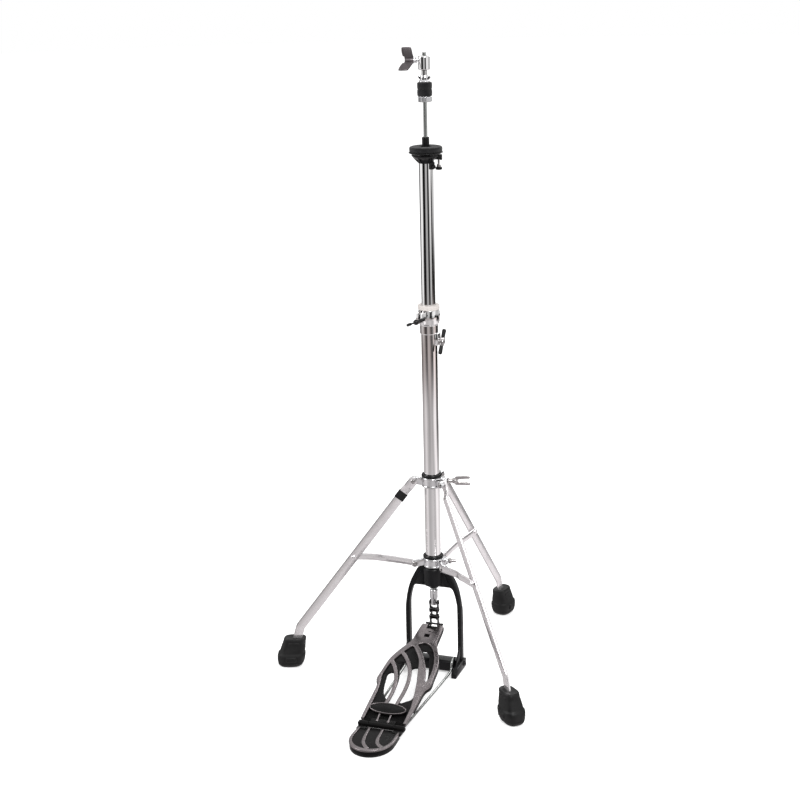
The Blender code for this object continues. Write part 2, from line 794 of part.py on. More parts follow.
def build_frame(root):
    """The cast yoke that carries the column, and the bar across its feet."""
    stand = Matrix.Rotation(math.pi / 2, 4, "X")
    half = FRAME_DEPTH / 2
    combine(
        "pedal_frame",
        solid(extrude_outline, frame_outline(), -half, half, stand),
        "black_powder",
        add=[
            solid(lathe, rod_profile(0.0172, 0.1428, FRAME_TOP_Z - 0.0004, 0.0010), SEGMENTS),
            solid(lathe, rod_profile(0.0085, 0.1368, 0.1500, 0.0010), SEGMENTS),
            solid(foot_block, 1),
            solid(foot_block, -1),
        ],
        cut=[
            solid(lathe, rod_profile(LOWER_TUBE_R + GAP, LOWER_TUBE_Z[0] - GAP, 0.2000), SEGMENTS),
            solid(lathe, rod_profile(ROD_R + 0.0009, 0.1000, 0.2000), FINE_SEGMENTS),
            solid(lathe, rod_profile(0.0026 + GAP, -0.0700, 0.0700), PIN_SEGMENTS, across(0, BOLT_Y, BOLT_Z)),
        ],
        parent=root,
    )
    bar = bmesh.new()
    inner = 0.0412 - GAP
    rear = 0.0050
    outline = [
        (CROSSBAR_Y[0] + 0.002, CROSSBAR_Z[0]),
        (rear, CROSSBAR_Z[0]),
        (rear, 0.0140),
        (CROSSBAR_Y[1], 0.0150),
        (CROSSBAR_Y[1] - 0.0020, CROSSBAR_Z[1]),
        (CROSSBAR_Y[0] + 0.0025, CROSSBAR_Z[1]),
        (CROSSBAR_Y[0], CROSSBAR_Z[1] - 0.0025),
        (CROSSBAR_Y[0], CROSSBAR_Z[0] + 0.002),
    ]
    stand = Matrix.Rotation(math.pi / 2, 4, "Z") @ Matrix.Rotation(math.pi / 2, 4, "X")
    extrude_outline(bar, outline, -inner, inner, stand)
    hole = solid(lathe, rod_profile(0.0026 + GAP, -0.0600, 0.0600), PIN_SEGMENTS, across(0, BOLT_Y, BOLT_Z))
    combine("frame_crossbar", bar, "black_powder", cut=[hole], parent=root)
    far = FOOT_BLOCK_X[1] + GAP
    bolt = [
        (0, -far - 0.0026),
        (0.0036, -far - 0.0026),
        (0.0046, -far - 0.0018),
        (0.0046, -far),
        (0.0026, -far),
        (0.0026, far),
        (0.0046, far),
        (0.0046, far + 0.0018),
        (0.0036, far + 0.0026),
        (0, far + 0.0026),
    ]
    turned("frame_bolt", bolt, "dark_steel", root, segments=PIN_SEGMENTS, matrix=across(0, BOLT_Y, BOLT_Z))


def build_radius_rods(root):
    """Two steel rods from the heel plate, hooked over the crossbar."""
    radius = 0.0021
    over = CROSSBAR_Z[1] + GAP + radius
    front = CROSSBAR_Y[0] - GAP - radius
    for name, side in (("left", -1), ("right", 1)):
        path = [
            (0.0265, -0.2680, 0.0060),
            (0.0300, -0.2350, 0.0060),
            (0.0345, -0.1500, 0.0062),
            (0.0392, -0.0480, 0.0072),
            (0.0394, front - 0.0050, 0.0086),
            (0.0394, front - 0.0008, 0.0120),
            (0.0394, front, 0.0165),
            (0.0394, front + 0.0002, over - 0.0030),
            (0.0394, front + 0.0030, over - 0.0002),
            (0.0394, front + 0.0060, over),
            (0.0394, front + 0.0150, over),
        ]
        bm = bmesh.new()
        sweep(bm, [(side * x, y, z) for x, y, z in path], radius, 8)
        link_mesh(f"radius_rod_{name}", bm, "rod_steel", root)


# ---------------------------------------------------------------- pedal


def heel_outline(shrink=0.0):
    """The heel plate from above: straight sides and a round heel."""
    half = HEEL_HALF_WIDTH - shrink
    back = HINGE_Y - 0.0105 - shrink
    depth = HEEL_TIP_Y + shrink + 0.0420
    points = [(half, back)]
    for step in range(0, 13):
        turn = math.pi * step / 12
        points.append((half * math.cos(turn), depth - (0.0420) * math.sin(turn) ** 0.9))
    points.append((-half, back))
    return points


def build_heel(root):
    """The heel plate on its rubber pad, with two hinge knuckles."""
    pad = bmesh.new()
    extrude_outline(pad, heel_outline(0.0012), 0.0, 0.0026)
    link_mesh("heel_pad", pad, "black_rubber", root, smooth=False)
    knuckles = []
    for side in (-1, 1):
        middle = side * 0.0290
        knuckles.append(solid(lathe, rod_profile(0.0052, -0.0078, 0.0078, 0.0005), FINE_SEGMENTS, across(middle, HINGE_Y, HINGE_Z)))
        low = (min(side * 0.0215, side * 0.0365), HINGE_Y - 0.0150, 0.0075)
        high = (max(side * 0.0215, side * 0.0365), HINGE_Y, 0.0126)
        knuckles.append(solid(box, low, high))
    cuts = [solid(lathe, rod_profile(0.0020 + PIN_PLAY, -0.0600, 0.0600), PIN_SEGMENTS, across(0, HINGE_Y, HINGE_Z))]
    for side in (-1, 1):
        start = Vector((side * 0.0260, -0.2730, 0.0060))
        end = Vector((side * 0.0310, -0.2200, 0.0060))
        along = end - start
        place = Matrix.Translation(start) @ along.to_track_quat("Z", "Y").to_matrix().to_4x4()
        cuts.append(solid(lathe, rod_profile(0.0021 + GAP, 0.0, along.length), PIN_SEGMENTS, place))
    combine(
        "heel_plate",
        solid(extrude_outline, heel_outline(), 0.0029, 0.0120),
        "pewter",
        add=knuckles,
        cut=cuts,
        parent=root,
    )
    pin = rod_profile(0.0020, -0.0376, 0.0376, 0.0004)
    turned("hinge_pin", pin, "dark_steel", root, segments=PIN_SEGMENTS, matrix=across(0, HINGE_Y, HINGE_Z))


def board_half_outline():
    """Half of the footboard from toe to hinge: (half width, distance from hinge)."""
    return [
        (0.0178, 0.2566),
        (0.0190, 0.2500),
        (0.0197, 0.2400),
        (0.0204, 0.2250),
        (0.0214, 0.2100),
        (0.0255, 0.2000),
        (0.0320, 0.1850),
        (0.0375, 0.1710),
        (0.0412, 0.1580),
        (0.0432, 0.1420),
        (0.0440, 0.1250),
        (0.0452, 0.1120),
        (0.0446, 0.1020),
        (0.0400, 0.0930),
        (0.0386, 0.0780),
        (0.0380, 0.0440),
        (0.0368, 0.0085),
    ]


def slot(bm, left, right):
    """A through slot between two edges that run from toe to heel."""
    outline = left + list(reversed(right))
    extrude_outline(bm, outline, -0.0200, 0.0200)


BOARD_SLOTS = (
    ([(-0.0318, 0.1225), (-0.0302, 0.1060), (-0.0262, 0.0850), (-0.0196, 0.0690)],
     [(-0.0262, 0.1270), (-0.0176, 0.1060), (-0.0132, 0.0830), (-0.0138, 0.0650)]),
    ([(-0.0210, 0.1440), (-0.0104, 0.1100), (-0.0062, 0.0830), (-0.0062, 0.0520)],
     [(-0.0165, 0.1540), (-0.0040, 0.1370), (0.0028, 0.1110), (0.0050, 0.0860), (0.0042, 0.0520)]),
    ([(0.0022, 0.1420), (0.0096, 0.1120), (0.0118, 0.0860), (0.0110, 0.0600)],
     [(0.0105, 0.1470), (0.0165, 0.1260), (0.0210, 0.1040), (0.0255, 0.0740)]),
    ([(0.0030, 0.1860), (0.0110, 0.1740), (0.0196, 0.1580), (0.0260, 0.1420), (0.0310, 0.1260), (0.0335, 0.1150)],
     [(0.0100, 0.1885), (0.0180, 0.1800), (0.0240, 0.1640), (0.0295, 0.1440), (0.0330, 0.1280), (0.0345, 0.1190)]),
)


def build_footboard(root):
    """The cast footboard, hinged at the heel and hung from the chain."""
    slope = math.atan2(TOE_PIN_Z - HINGE_Z, -HINGE_Y)
    hinge = empty("footboard_axis", root, (0, HINGE_Y, HINGE_Z), (slope, 0, 0))
    top = BOARD_THICKNESS
    half = board_half_outline()
    shell = mirrored(half)
    inset = [(x - 0.0034, y) for x, y in half]
    inset[0] = (inset[0][0], 0.2360)
    inset = [point for point in inset if point[1] <= 0.2360]
    inset[-1] = (inset[-1][0], 0.0200)
    reach = math.hypot(TOE_PIN_Z - HINGE_Z, HINGE_Y)
    parts = [
        solid(lathe, rod_profile(0.0046, -0.0205, 0.0205, 0.0005), FINE_SEGMENTS, across(0, 0, 0)),
        solid(box, (-0.0202, 0.0, -0.0040), (0.0202, 0.0130, 0.0034)),
        solid(box, (-0.0130, 0.2440, -0.0048), (-0.0088, 0.2680, 0.0016)),
        solid(box, (0.0088, 0.2440, -0.0048), (0.0130, 0.2680, 0.0016)),
    ]
    cuts = [solid(slot, left, right) for left, right in BOARD_SLOTS]
    for near, far in ((-0.0600, -0.0208), (0.0208, 0.0600)):
        cuts.append(solid(box, (near, -0.0100, -0.0300), (far, 0.0340, -0.0024)))
    cuts += [
        solid(extrude_outline, mirrored(inset), -0.0200, 0.0),
        solid(box, (-0.0084, 0.2450, -0.0200), (0.0084, 0.2800, 0.0200)),
        solid(lathe, rod_profile(0.0020 + PIN_PLAY, -0.0600, 0.0600), PIN_SEGMENTS, across(0, 0, 0)),
        solid(lathe, rod_profile(0.0016 + PIN_PLAY, -0.0600, 0.0600), PIN_SEGMENTS, across(0, reach, 0)),
        solid(box, (-0.0049, 0.2225, -0.0200), (0.0033, 0.2305, 0.0200)),
        solid(lathe, rod_profile(0.0016, -0.0200, 0.0200), PIN_SEGMENTS, Matrix.Translation((0.0006, 0.2385, 0))),
    ]
    combine(
        "footboard",
        solid(extrude_outline, shell, -BOARD_SKIRT, top),
        "pewter",
        add=parts,
        cut=cuts,
        parent=hinge,
    )
    pin = rod_profile(0.0016, -0.0138, 0.0138, 0.0003)
    turned("toe_pin", pin, "dark_steel", hinge, segments=PIN_SEGMENTS, matrix=across(0, reach, 0))
    badge = bmesh.new()
    outline = []
    for step in range(32):
        turn = 2 * math.pi * step / 32
        outline.append((-0.0026 + 0.0300 * math.cos(turn), 0.0370 + 0.0124 * math.sin(turn)))
    extrude_outline(badge, outline, top + GAP, top + 0.0012)
    link_mesh("footboard_badge", badge, "gunmetal", hinge)
    return hinge


# ---------------------------------------------------------------- tripod


def offset_strip(bm, stations, thick):
    """A flat bent strip.

    Each station is (radius, height, sideways shift, half width, direction in
    degrees of the strip's width in the radial plane).
    """
    rings = []
    for radius, height, shift, half, angle in stations:
        wide = Vector((math.cos(math.radians(angle)), 0, math.sin(math.radians(angle))))
        centre = Vector((radius, shift, height))
        ring = []
        for side, depth in ((-1, -1), (1, -1), (1, 1), (-1, 1)):
            offset = wide * half * side + Vector((0, thick / 2 * depth, 0))
            ring.append(bm.verts.new(centre + offset))
        rings.append(ring)
    for low, high in zip(rings, rings[1:]):
        for step in range(4):
            after = (step + 1) % 4
            bm.faces.new((low[step], low[after], high[after], high[step]))
    bm.faces.new(list(reversed(rings[0])))
    bm.faces.new(rings[-1])


def rounded_end(point, direction, shift, half, width_angle, outward):
    """Stations that close a strip with a half-round end."""
    stations = []
    for degrees in (86, 58, 29):
        turn = math.radians(degrees)
        along = half * math.sin(turn) * outward
        stations.append(
            (
                point[0] + direction[0] * along,
                point[1] + direction[1] * along,
                shift,
                half * math.cos(turn),
                width_angle,
            )
        )
    return stations


LEG_EYE_SHIFT = 0.0054
LEG_PIN_REACH = (-0.0034, 0.0078)
STRUT_PIN_REACH = (-0.0040, 0.0042)
STRUT_EYE_SHIFT = -0.0020
STRUT_LEG_SHIFT = -(STRIP_THICK + GAP)


def leg_stations():
    """The leg from its pivot down to the tip inside the rubber foot."""
    top = Vector(LEG_PIVOT)
    bend = Vector(LEG_BEND)
    tip = Vector(LEG_TIP)
    upper = (bend - top).normalized()
    lower = (tip - bend).normalized()
    width_angle = math.degrees(math.atan2(upper.x, -upper.y))
    lower_angle = math.degrees(math.atan2(lower.x, -lower.y))
    half = STRIP_WIDTH / 2
    stations = rounded_end(top, -upper, LEG_EYE_SHIFT, half * 0.86, width_angle, 1)
    for along, shift in ((0.0, 1.0), (0.0120, 1.0), (0.0250, 0.0), (0.0300, 0.0)):
        point = top + upper * along
        stations.append((point.x, point.y, LEG_EYE_SHIFT * shift, half, width_angle))
    before = bend - upper * 0.0060
    stations.append((before.x, before.y, 0.0, half, width_angle))
    stations.append((bend.x, bend.y, 0.0, half, (width_angle + lower_angle) / 2))
    after = bend + lower * 0.0060
    stations.append((after.x, after.y, 0.0, half, lower_angle))
    stations.append((tip.x, tip.y, 0.0, half, lower_angle))
    return stations


def rivet_point():
    """Where leg and strut cross, on the leg's centre line."""
    top = Vector(LEG_PIVOT)
    bend = Vector(LEG_BEND)
    share = (RIVET_R - top.x) / (bend.x - top.x)
    return top + (bend - top) * share


def strut_stations():
    """The strut from the lower collar out to the leg's rivet."""
    start = Vector(STRUT_PIVOT)
    end = rivet_point()
    along = (end - start).normalized()
    angle = math.degrees(math.atan2(along.x, -along.y))
    half = STRUT_WIDTH / 2
    length = (end - start).length
    stations = rounded_end(start, -along, STRUT_EYE_SHIFT, half, angle, 1)
    for share, shift in ((0.0, STRUT_EYE_SHIFT), (0.52, STRUT_EYE_SHIFT), (0.64, STRUT_LEG_SHIFT), (1.0, STRUT_LEG_SHIFT)):
        point = start + along * length * share
        stations.append((point.x, point.y, shift, half, angle))
    stations += list(reversed(rounded_end(end, along, STRUT_LEG_SHIFT, half, angle, 1)))
    return stations


def collar(name, heights, pivot, lug_shift, lug_thick, parent):
    """A clamp collar with three leg lugs and one boss for its screw."""
    low, high = heights
    lugs = []
    holes = []
    for degrees in LEG_AZIMUTHS_DEG:
        turn = Matrix.Rotation(math.radians(degrees), 4, "Z")
        outline = [(0.0145, low + 0.0014)]
        outline += arc(pivot, 0.0058, -90, 90, 6)
        outline.append((0.0145, high - 0.0014))
        stand = turn @ Matrix.Rotation(math.pi / 2, 4, "X")
        near = -lug_shift - lug_thick / 2
        lugs.append(solid(extrude_outline, outline, near, near + lug_thick, stand))
        hole = rod_profile(PIVOT_PIN_R + PIN_PLAY, -0.0200, 0.0200)
        holes.append(solid(lathe, hole, PIN_SEGMENTS, turn @ tangent(pivot)))
    middle = (low + high) / 2
    lugs.append(solid(lathe, rod_profile(0.0062, 0.0140, 0.0245, 0.0006), FINE_SEGMENTS, radial(SCREW_AZIMUTH_DEG, middle)))
    holes.append(solid(lathe, rod_profile(0.0030 + GAP, 0.0120, 0.0300), PIN_SEGMENTS, radial(SCREW_AZIMUTH_DEG, middle)))
    holes.append(solid(lathe, rod_profile(0.0142 + GAP, low - 0.01, high + 0.01)))
    return combine(
        name,
        solid(lathe, rod_profile(COLLAR_R, low, high, 0.0008)),
        "chrome",
        add=lugs,
        cut=holes,
        parent=parent,
    )


def collar_bush(name, heights, top, parent, bore):
    """The plastic bush inside a collar, with the black flange above it."""
    low, high = heights
    inner = LOWER_TUBE_R + bore
    profile = [
        (0.0142, low + 0.0006),
        (0.0142, high + GAP),
        (0.0158, high + GAP),
        (0.0166, high + 0.0012),
        (0.0166, top - 0.0012),
        (0.0154, top),
        (inner, top),
        (inner, low + 0.0006),
    ]
    return turned(name, profile, "black_plastic", parent)


def pivot_pin(name, degrees, pivot, low, high, parent):
    """A headed pin through one lug, riveted over at its far end."""
    turn = Matrix.Rotation(math.radians(degrees), 4, "Z")
    profile = [
        (0, low - 0.0018),
        (0.0034, low - 0.0018),
        (0.0040, low - 0.0012),
        (0.0040, low),
        (PIVOT_PIN_R, low),
        (PIVOT_PIN_R, high),
        (0.0040, high),
        (0.0040, high + 0.0012),
        (0.0034, high + 0.0018),
        (0, high + 0.0018),
    ]
    turned(name, profile, "chrome", parent, segments=PIN_SEGMENTS, matrix=turn @ tangent(pivot))


def build_leg(azimuth, number, upper):
    """One leg with its rubber foot and its side of the rivet."""
    turn = empty(f"leg_{number}_frame", upper, rotation=(0, 0, math.radians(azimuth)))
    axis = empty(f"leg_{number}_axis", turn, (LEG_PIVOT[0], 0, LEG_PIVOT[1]))
    shift = Matrix.Translation((-LEG_PIVOT[0], 0, -LEG_PIVOT[1]))
    base = solid(offset_strip, leg_stations(), STRIP_THICK)
    hole = solid(lathe, rod_profile(PIVOT_PIN_R + PIN_PLAY, -0.0200, 0.0200), PIN_SEGMENTS, tangent(LEG_PIVOT))
    base.transform(shift)
    hole.transform(shift)
    face = STRIP_THICK / 2 - 0.0004
    dome = [(0, face), (0.0042, face), (0.0042, face + 0.0012), (0.0030, face + 0.0025), (0, face + 0.0030)]
    head = solid(lathe, dome, PIN_SEGMENTS, tangent(rivet_point()))
    head.transform(shift)
    combine(f"leg_{number}", base, "chrome", add=[head], cut=[hole], parent=axis)
    build_foot(number, axis, shift)


def superellipse(radial_half, side_half, steps, power=0.72):
    """A rounded rectangle around the foot's own axis."""
    points = []
    for step in range(steps):
        turn = 2 * math.pi * step / steps
        cosine = math.cos(turn)
        sine = math.sin(turn)
        x = math.copysign(abs(cosine) ** power, cosine) * radial_half
        y = math.copysign(abs(sine) ** power, sine) * side_half
        points.append((x, y))
    return points


FOOT_SIDES = 16
FOOT_SECTIONS = (
    (0.0000, 0.0150, 0.0110, 0.0020),
    (0.0020, 0.0195, 0.0145, 0.0016),
    (0.0090, 0.0228, 0.0176, 0.0006),
    (0.0190, 0.0236, 0.0184, -0.0004),
    (0.0250, 0.0222, 0.0170, -0.0020),
    (0.0290, 0.0210, 0.0158, -0.0032),
    (0.0460, 0.0180, 0.0120, -0.0070),
    (0.0500, 0.0162, 0.0102, -0.0080),
)


def build_foot(number, axis, shift):
    """A moulded rubber boot on the leg's tip."""
    bm = bmesh.new()
    rings = []
    for height, radial_half, side_half, lean in FOOT_SECTIONS:
        ring = []
        for x, y in superellipse(radial_half, side_half, FOOT_SIDES):
            ring.append(bm.verts.new((FOOT_CENTRE_R + lean + x, y, height)))
        rings.append(ring)
    for low, high in zip(rings, rings[1:]):
        for step in range(FOOT_SIDES):
            after = (step + 1) % FOOT_SIDES
            bm.faces.new((low[step], low[after], high[after], high[step]))
    bm.faces.new(list(reversed(rings[0])))
    bm.faces.new(rings[-1])
    bm.transform(shift)
    bend = Vector(LEG_BEND)
    tip = Vector(LEG_TIP)
    lower = (tip - bend).normalized()
    angle = math.degrees(math.atan2(lower.x, -lower.y))
    half = STRIP_WIDTH / 2 + GAP
    end = tip + lower * GAP
    start = bend - lower * 0.004
    stations = [(start.x, start.y, 0.0, half, angle), (end.x, end.y, 0.0, half, angle)]
    socket = solid(offset_strip, stations, STRIP_THICK + 2 * GAP)
    socket.transform(shift)
    combine(f"foot_{number}", bm, "black_rubber", cut=[socket], parent=axis)


def build_strut(azimuth, number, lower):
    """One strut, which stops beside the leg with its own rivet head."""
    turn = empty(f"strut_{number}_frame", lower, rotation=(0, 0, math.radians(azimuth)))
    axis = empty(f"strut_{number}_axis", turn, (STRUT_PIVOT[0], 0, STRUT_PIVOT[1]))
    shift = Matrix.Translation((-STRUT_PIVOT[0], 0, -STRUT_PIVOT[1]))
    base = solid(offset_strip, strut_stations(), STRIP_THICK * 0.75)
    hole = solid(lathe, rod_profile(PIVOT_PIN_R + PIN_PLAY, -0.0200, 0.0200), PIN_SEGMENTS, tangent(STRUT_PIVOT))
    face = STRUT_LEG_SHIFT - STRIP_THICK * 0.375 + 0.0004
    dome = [(0, face), (0.0042, face), (0.0042, face - 0.0012), (0.0030, face - 0.0025), (0, face - 0.0030)]
    head = solid(lathe, dome, PIN_SEGMENTS, tangent(rivet_point()))
    for bm in (base, hole, head):
        bm.transform(shift)
    combine(f"strut_{number}", base, "chrome", add=[head], cut=[hole], parent=axis)


def build_tripod(root):
    """Both collars, three legs, three struts and the clamp screws."""
    lower = empty("tripod_swivel_axis", root)
    upper = empty("upper_collar_slide", lower)
    collar("lower_collar", LOWER_COLLAR_Z, STRUT_PIVOT, 0.0018, 0.0040, lower)
    collar("upper_collar", UPPER_COLLAR_Z, LEG_PIVOT, 0.0, 0.0060, upper)
    collar_bush("lower_collar_ring", LOWER_COLLAR_Z, LOWER_RING_TOP_Z, lower, GAP)
    collar_bush("upper_collar_ring", UPPER_COLLAR_Z, UPPER_RING_TOP_Z, upper, GAP)
    for number, azimuth in enumerate(LEG_AZIMUTHS_DEG, start=1):
        build_leg(azimuth, number, upper)
        build_strut(azimuth, number, lower)
        pivot_pin(f"leg_pin_{number}", azimuth, LEG_PIVOT, *LEG_PIN_REACH, upper)
        pivot_pin(f"strut_pin_{number}", azimuth, STRUT_PIVOT, *STRUT_PIN_REACH, lower)
    build_tripod_screws(lower, upper)


def build_tripod_screws(lower, upper):
    """The wing screw of the upper collar and the hex bolt of the lower."""
    middle = sum(UPPER_COLLAR_Z) / 2
    place = radial(SCREW_AZIMUTH_DEG, middle)
    axis = empty("upper_wing_screw_axis", upper)
    combine(
        "upper_wing_screw",
        solid(lathe, rod_profile(0.0030, 0.0145, 0.0320), PIN_SEGMENTS, place),
        "chrome",
        add=[
            solid(lathe, rod_profile(0.0050, 0.0262, 0.0400, 0.0008), FINE_SEGMENTS, place),
            solid(wing, place, 8, 0.0400, 0.0220, 0.0100),
            solid(wing, place, 188, 0.0400, 0.0220, 0.0100),
            solid(box, (-0.0040, -0.0013, 0.0380), (0.0040, 0.0013, 0.0440), place @ Matrix.Rotation(math.radians(8), 4, "Z")),
        ],
        parent=axis,
    )
    low_middle = sum(LOWER_COLLAR_Z) / 2
    bolt_axis = empty("lower_collar_bolt_axis", lower)
    profile = [
        (0, 0.0145),
        (0.0030, 0.0145),
        (0.0030, 0.0250),
        (0.0048, 0.0250),
        (0.0048, 0.0290),
        (0.0026, 0.0298),
        (0.0026, 0.0375),
        (0, 0.0375),
    ]
    place = radial(SCREW_AZIMUTH_DEG, low_middle)
    turned("lower_collar_bolt", profile, "chrome", bolt_axis, segments=PIN_SEGMENTS, matrix=place)


# ---------------------------------------------------------------- assembly


def centre_on_footprint(root):
    """Move the stand so that the middle of its footprint is the origin."""
    bpy.context.view_layer.update()
    corners = []
    for obj in bpy.data.objects:
        if obj.type == "MESH":
            corners += [obj.matrix_world @ vert.co for vert in obj.data.vertices]
    low = Vector([min(corner[axis] for corner in corners) for axis in range(3)])
    high = Vector([max(corner[axis] for corner in corners) for axis in range(3)])
    root.location = (-(low.x + high.x) / 2, -(low.y + high.y) / 2, -low.z)
    bpy.context.view_layer.update()


def main():
    """Build every sub-part, then centre the whole."""
    clear_scene()
    root = empty("stand")
    build_column(root)
    build_t_bolt(root)
    build_upper_tube(root)
    build_memory_lock(root)
    rod = build_pull_rod(root)
    build_clutch(rod)
    build_chain(rod)
    build_return_spring(root)
    build_frame(root)
    build_radius_rods(root)
    build_heel(root)
    build_footboard(root)
    build_tripod(root)
    centre_on_footprint(root)


main()
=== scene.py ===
"""Hi-hat stand with foot pedal: the finished look of every visible piece.

All pieces are modelled round the column's axis, in metres, and are then moved
to where the frame holds the column.
"""

import logging
import math
from dataclasses import dataclass
from enum import Enum
from typing import Iterable, Sequence

import bmesh
import bpy
from mathutils import Matrix, Vector


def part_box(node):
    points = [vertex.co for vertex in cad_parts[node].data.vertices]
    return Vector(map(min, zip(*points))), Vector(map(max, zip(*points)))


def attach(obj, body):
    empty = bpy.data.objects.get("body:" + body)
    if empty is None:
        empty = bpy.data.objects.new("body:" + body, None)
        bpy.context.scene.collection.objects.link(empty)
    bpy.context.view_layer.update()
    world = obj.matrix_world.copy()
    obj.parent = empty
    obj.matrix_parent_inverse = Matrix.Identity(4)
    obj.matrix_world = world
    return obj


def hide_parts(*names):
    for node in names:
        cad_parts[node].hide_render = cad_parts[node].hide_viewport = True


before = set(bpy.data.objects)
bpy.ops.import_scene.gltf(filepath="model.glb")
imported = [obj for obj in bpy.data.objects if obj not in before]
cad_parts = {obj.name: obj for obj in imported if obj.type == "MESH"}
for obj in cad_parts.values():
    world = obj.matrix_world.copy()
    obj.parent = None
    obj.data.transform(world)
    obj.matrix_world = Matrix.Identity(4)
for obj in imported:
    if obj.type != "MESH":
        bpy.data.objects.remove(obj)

log = logging.getLogger("hi_hat_stand")

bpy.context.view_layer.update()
TUBE_LOW, TUBE_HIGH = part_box("lower_tube")
COLUMN = Vector(((TUBE_LOW[0] + TUBE_HIGH[0]) / 2, (TUBE_LOW[1] + TUBE_HIGH[1]) / 2, 0.0))
SHARP = math.radians(38)
ROUNDED = math.radians(30)
WELD = 0.000002
ON_AXIS = 1e-7
FILLET_SHARE = 0.45

Mesh = bpy.types.Mesh
NodeTree = bpy.types.NodeTree
Pair = tuple[float, float]
Profile = Sequence[Pair]
Loop = Sequence[Pair]


# ---------------------------------------------------------------- finishes


class Grain(Enum):
    """What the small surface detail of a finish is."""

    POLISHED = "polished"
    SATIN = "satin"
    CAST = "cast"
    MOULDED = "moulded"
    RUBBER = "rubber"
    FELT = "felt"


@dataclass(frozen=True)
class Finish:
    """One material, in the terms of the person who specifies it."""

    name: str
    slot: str
    grain: Grain
    colour: tuple[float, float, float]
    worn: tuple[float, float, float]
    smooth: float
    rough: float
    metallic: float
    patch: float
    wear: float = 0.5
    depth: float = 0.00002
    sheen: float = 0.0
    specular: float = 0.5


TUBE_CHROME = Finish(
    "tube_chrome", "polished_chrome", Grain.POLISHED, (0.88, 0.87, 0.87), (0.76, 0.74, 0.74), 0.03,
    0.075, 1.0, 22.0, wear=0.22, depth=0.000003
)
CAST_CHROME = Finish(
    "cast_chrome", "polished_chrome", Grain.POLISHED, (0.82, 0.82, 0.83), (0.62, 0.62, 0.64), 0.05,
    0.13, 1.0, 60.0, wear=0.35
)
SCREW_CHROME = Finish(
    "screw_chrome", "polished_chrome", Grain.POLISHED, (0.50, 0.48, 0.48), (0.30, 0.28, 0.28), 0.08,
    0.17, 1.0, 80.0, wear=0.45
)
LEG_CHROME = Finish(
    "leg_chrome", "polished_chrome", Grain.SATIN, (0.88, 0.855, 0.865), (0.74, 0.70, 0.72), 0.14,
    0.28, 0.86, 35.0, wear=0.35
)
ROD_STEEL = Finish(
    "rod_steel", "rod_steel", Grain.SATIN, (0.46, 0.47, 0.46), (0.33, 0.34, 0.33), 0.15, 0.28, 1.0,
    90.0, wear=0.4
)
BLACK_POWDER = Finish(
    "black_powder_coat", "black_powder_coat", Grain.CAST, (0.0042, 0.0042, 0.0048),
    (0.011, 0.011, 0.012), 0.24, 0.38, 0.0, 45.0, wear=0.35, depth=0.00006, specular=0.22
)
PEWTER = Finish(
    "pewter_casting", "pewter_casting", Grain.CAST, (0.275, 0.25, 0.255), (0.155, 0.137, 0.142),
    0.20, 0.37, 1.0, 70.0, wear=0.55, depth=0.00005
)
GUNMETAL = Finish(
    "gunmetal_casting", "gunmetal_casting", Grain.CAST, (0.155, 0.14, 0.145), (0.08, 0.07, 0.075),
    0.26, 0.45, 1.0, 110.0, depth=0.00004
)
BLACK_RUBBER = Finish(
    "black_rubber", "black_rubber", Grain.RUBBER, (0.0035, 0.0035, 0.0038), (0.012, 0.0115, 0.0115),
    0.42, 0.68, 0.0, 55.0, wear=0.45, depth=0.00016, specular=0.30
)
BLACK_PLASTIC = Finish(
    "black_plastic", "black_plastic", Grain.MOULDED, (0.0040, 0.0040, 0.0044),
    (0.010, 0.010, 0.011), 0.20, 0.36, 0.0, 80.0, wear=0.35, depth=0.00003, specular=0.20
)
BLACK_INLAY = Finish(
    "black_inlay", "pewter_casting", Grain.MOULDED, (0.0022, 0.0020, 0.0022),
    (0.006, 0.0055, 0.0055), 0.24, 0.40, 0.0, 60.0, wear=0.4, depth=0.00004, specular=0.11
)
CREAM_PLASTIC = Finish(
    "cream_plastic", "cream_plastic", Grain.MOULDED, (0.52, 0.485, 0.465), (0.41, 0.37, 0.35), 0.32,
    0.50, 0.0, 70.0, wear=0.35
)
BLACK_FELT = Finish(
    "black_felt", "black_felt", Grain.FELT, (0.0045, 0.0045, 0.0050), (0.020, 0.0195, 0.0205), 0.88,
    1.0, 0.0, 160.0, wear=0.6, depth=0.00045, sheen=0.12, specular=0.12
)
CHAIN_STEEL = Finish(
    "chain_steel", "dark_chain_steel", Grain.SATIN, (0.055, 0.053, 0.055), (0.018, 0.017, 0.017),
    0.22, 0.42, 1.0, 130.0
)
SPRING_WIRE = Finish(
    "spring_wire", "spring_wire", Grain.SATIN, (0.42, 0.42, 0.44), (0.30, 0.29, 0.29), 0.25, 0.4,
    1.0, 90.0, wear=0.4
)


def add(tree: NodeTree, kind: str, inputs: dict, **settings) -> bpy.types.Node:
    """Add a node, set its fields, and give inputs a value or a link.

    Args:
        tree: The tree.
        kind: The node's type.
        inputs: Values or sockets, by the input's name or number.
        settings: The node's own fields.

    Returns:
        The node.
    """
    made = tree.nodes.new(kind)
    for key, value in settings.items():
        setattr(made, key, value)
    for key, value in inputs.items():
        if isinstance(value, bpy.types.NodeSocket):
            tree.links.new(value, made.inputs[key])
        else:
            made.inputs[key].default_value = value
    return made


GRAIN_SCALE = {
    Grain.POLISHED: 300.0, Grain.SATIN: 420.0, Grain.CAST: 900.0, Grain.MOULDED: 1300.0,
    Grain.RUBBER: 700.0, Grain.FELT: 1100.0
}
CELL_SCALE = 1.7
CELL_SHARE = 0.6


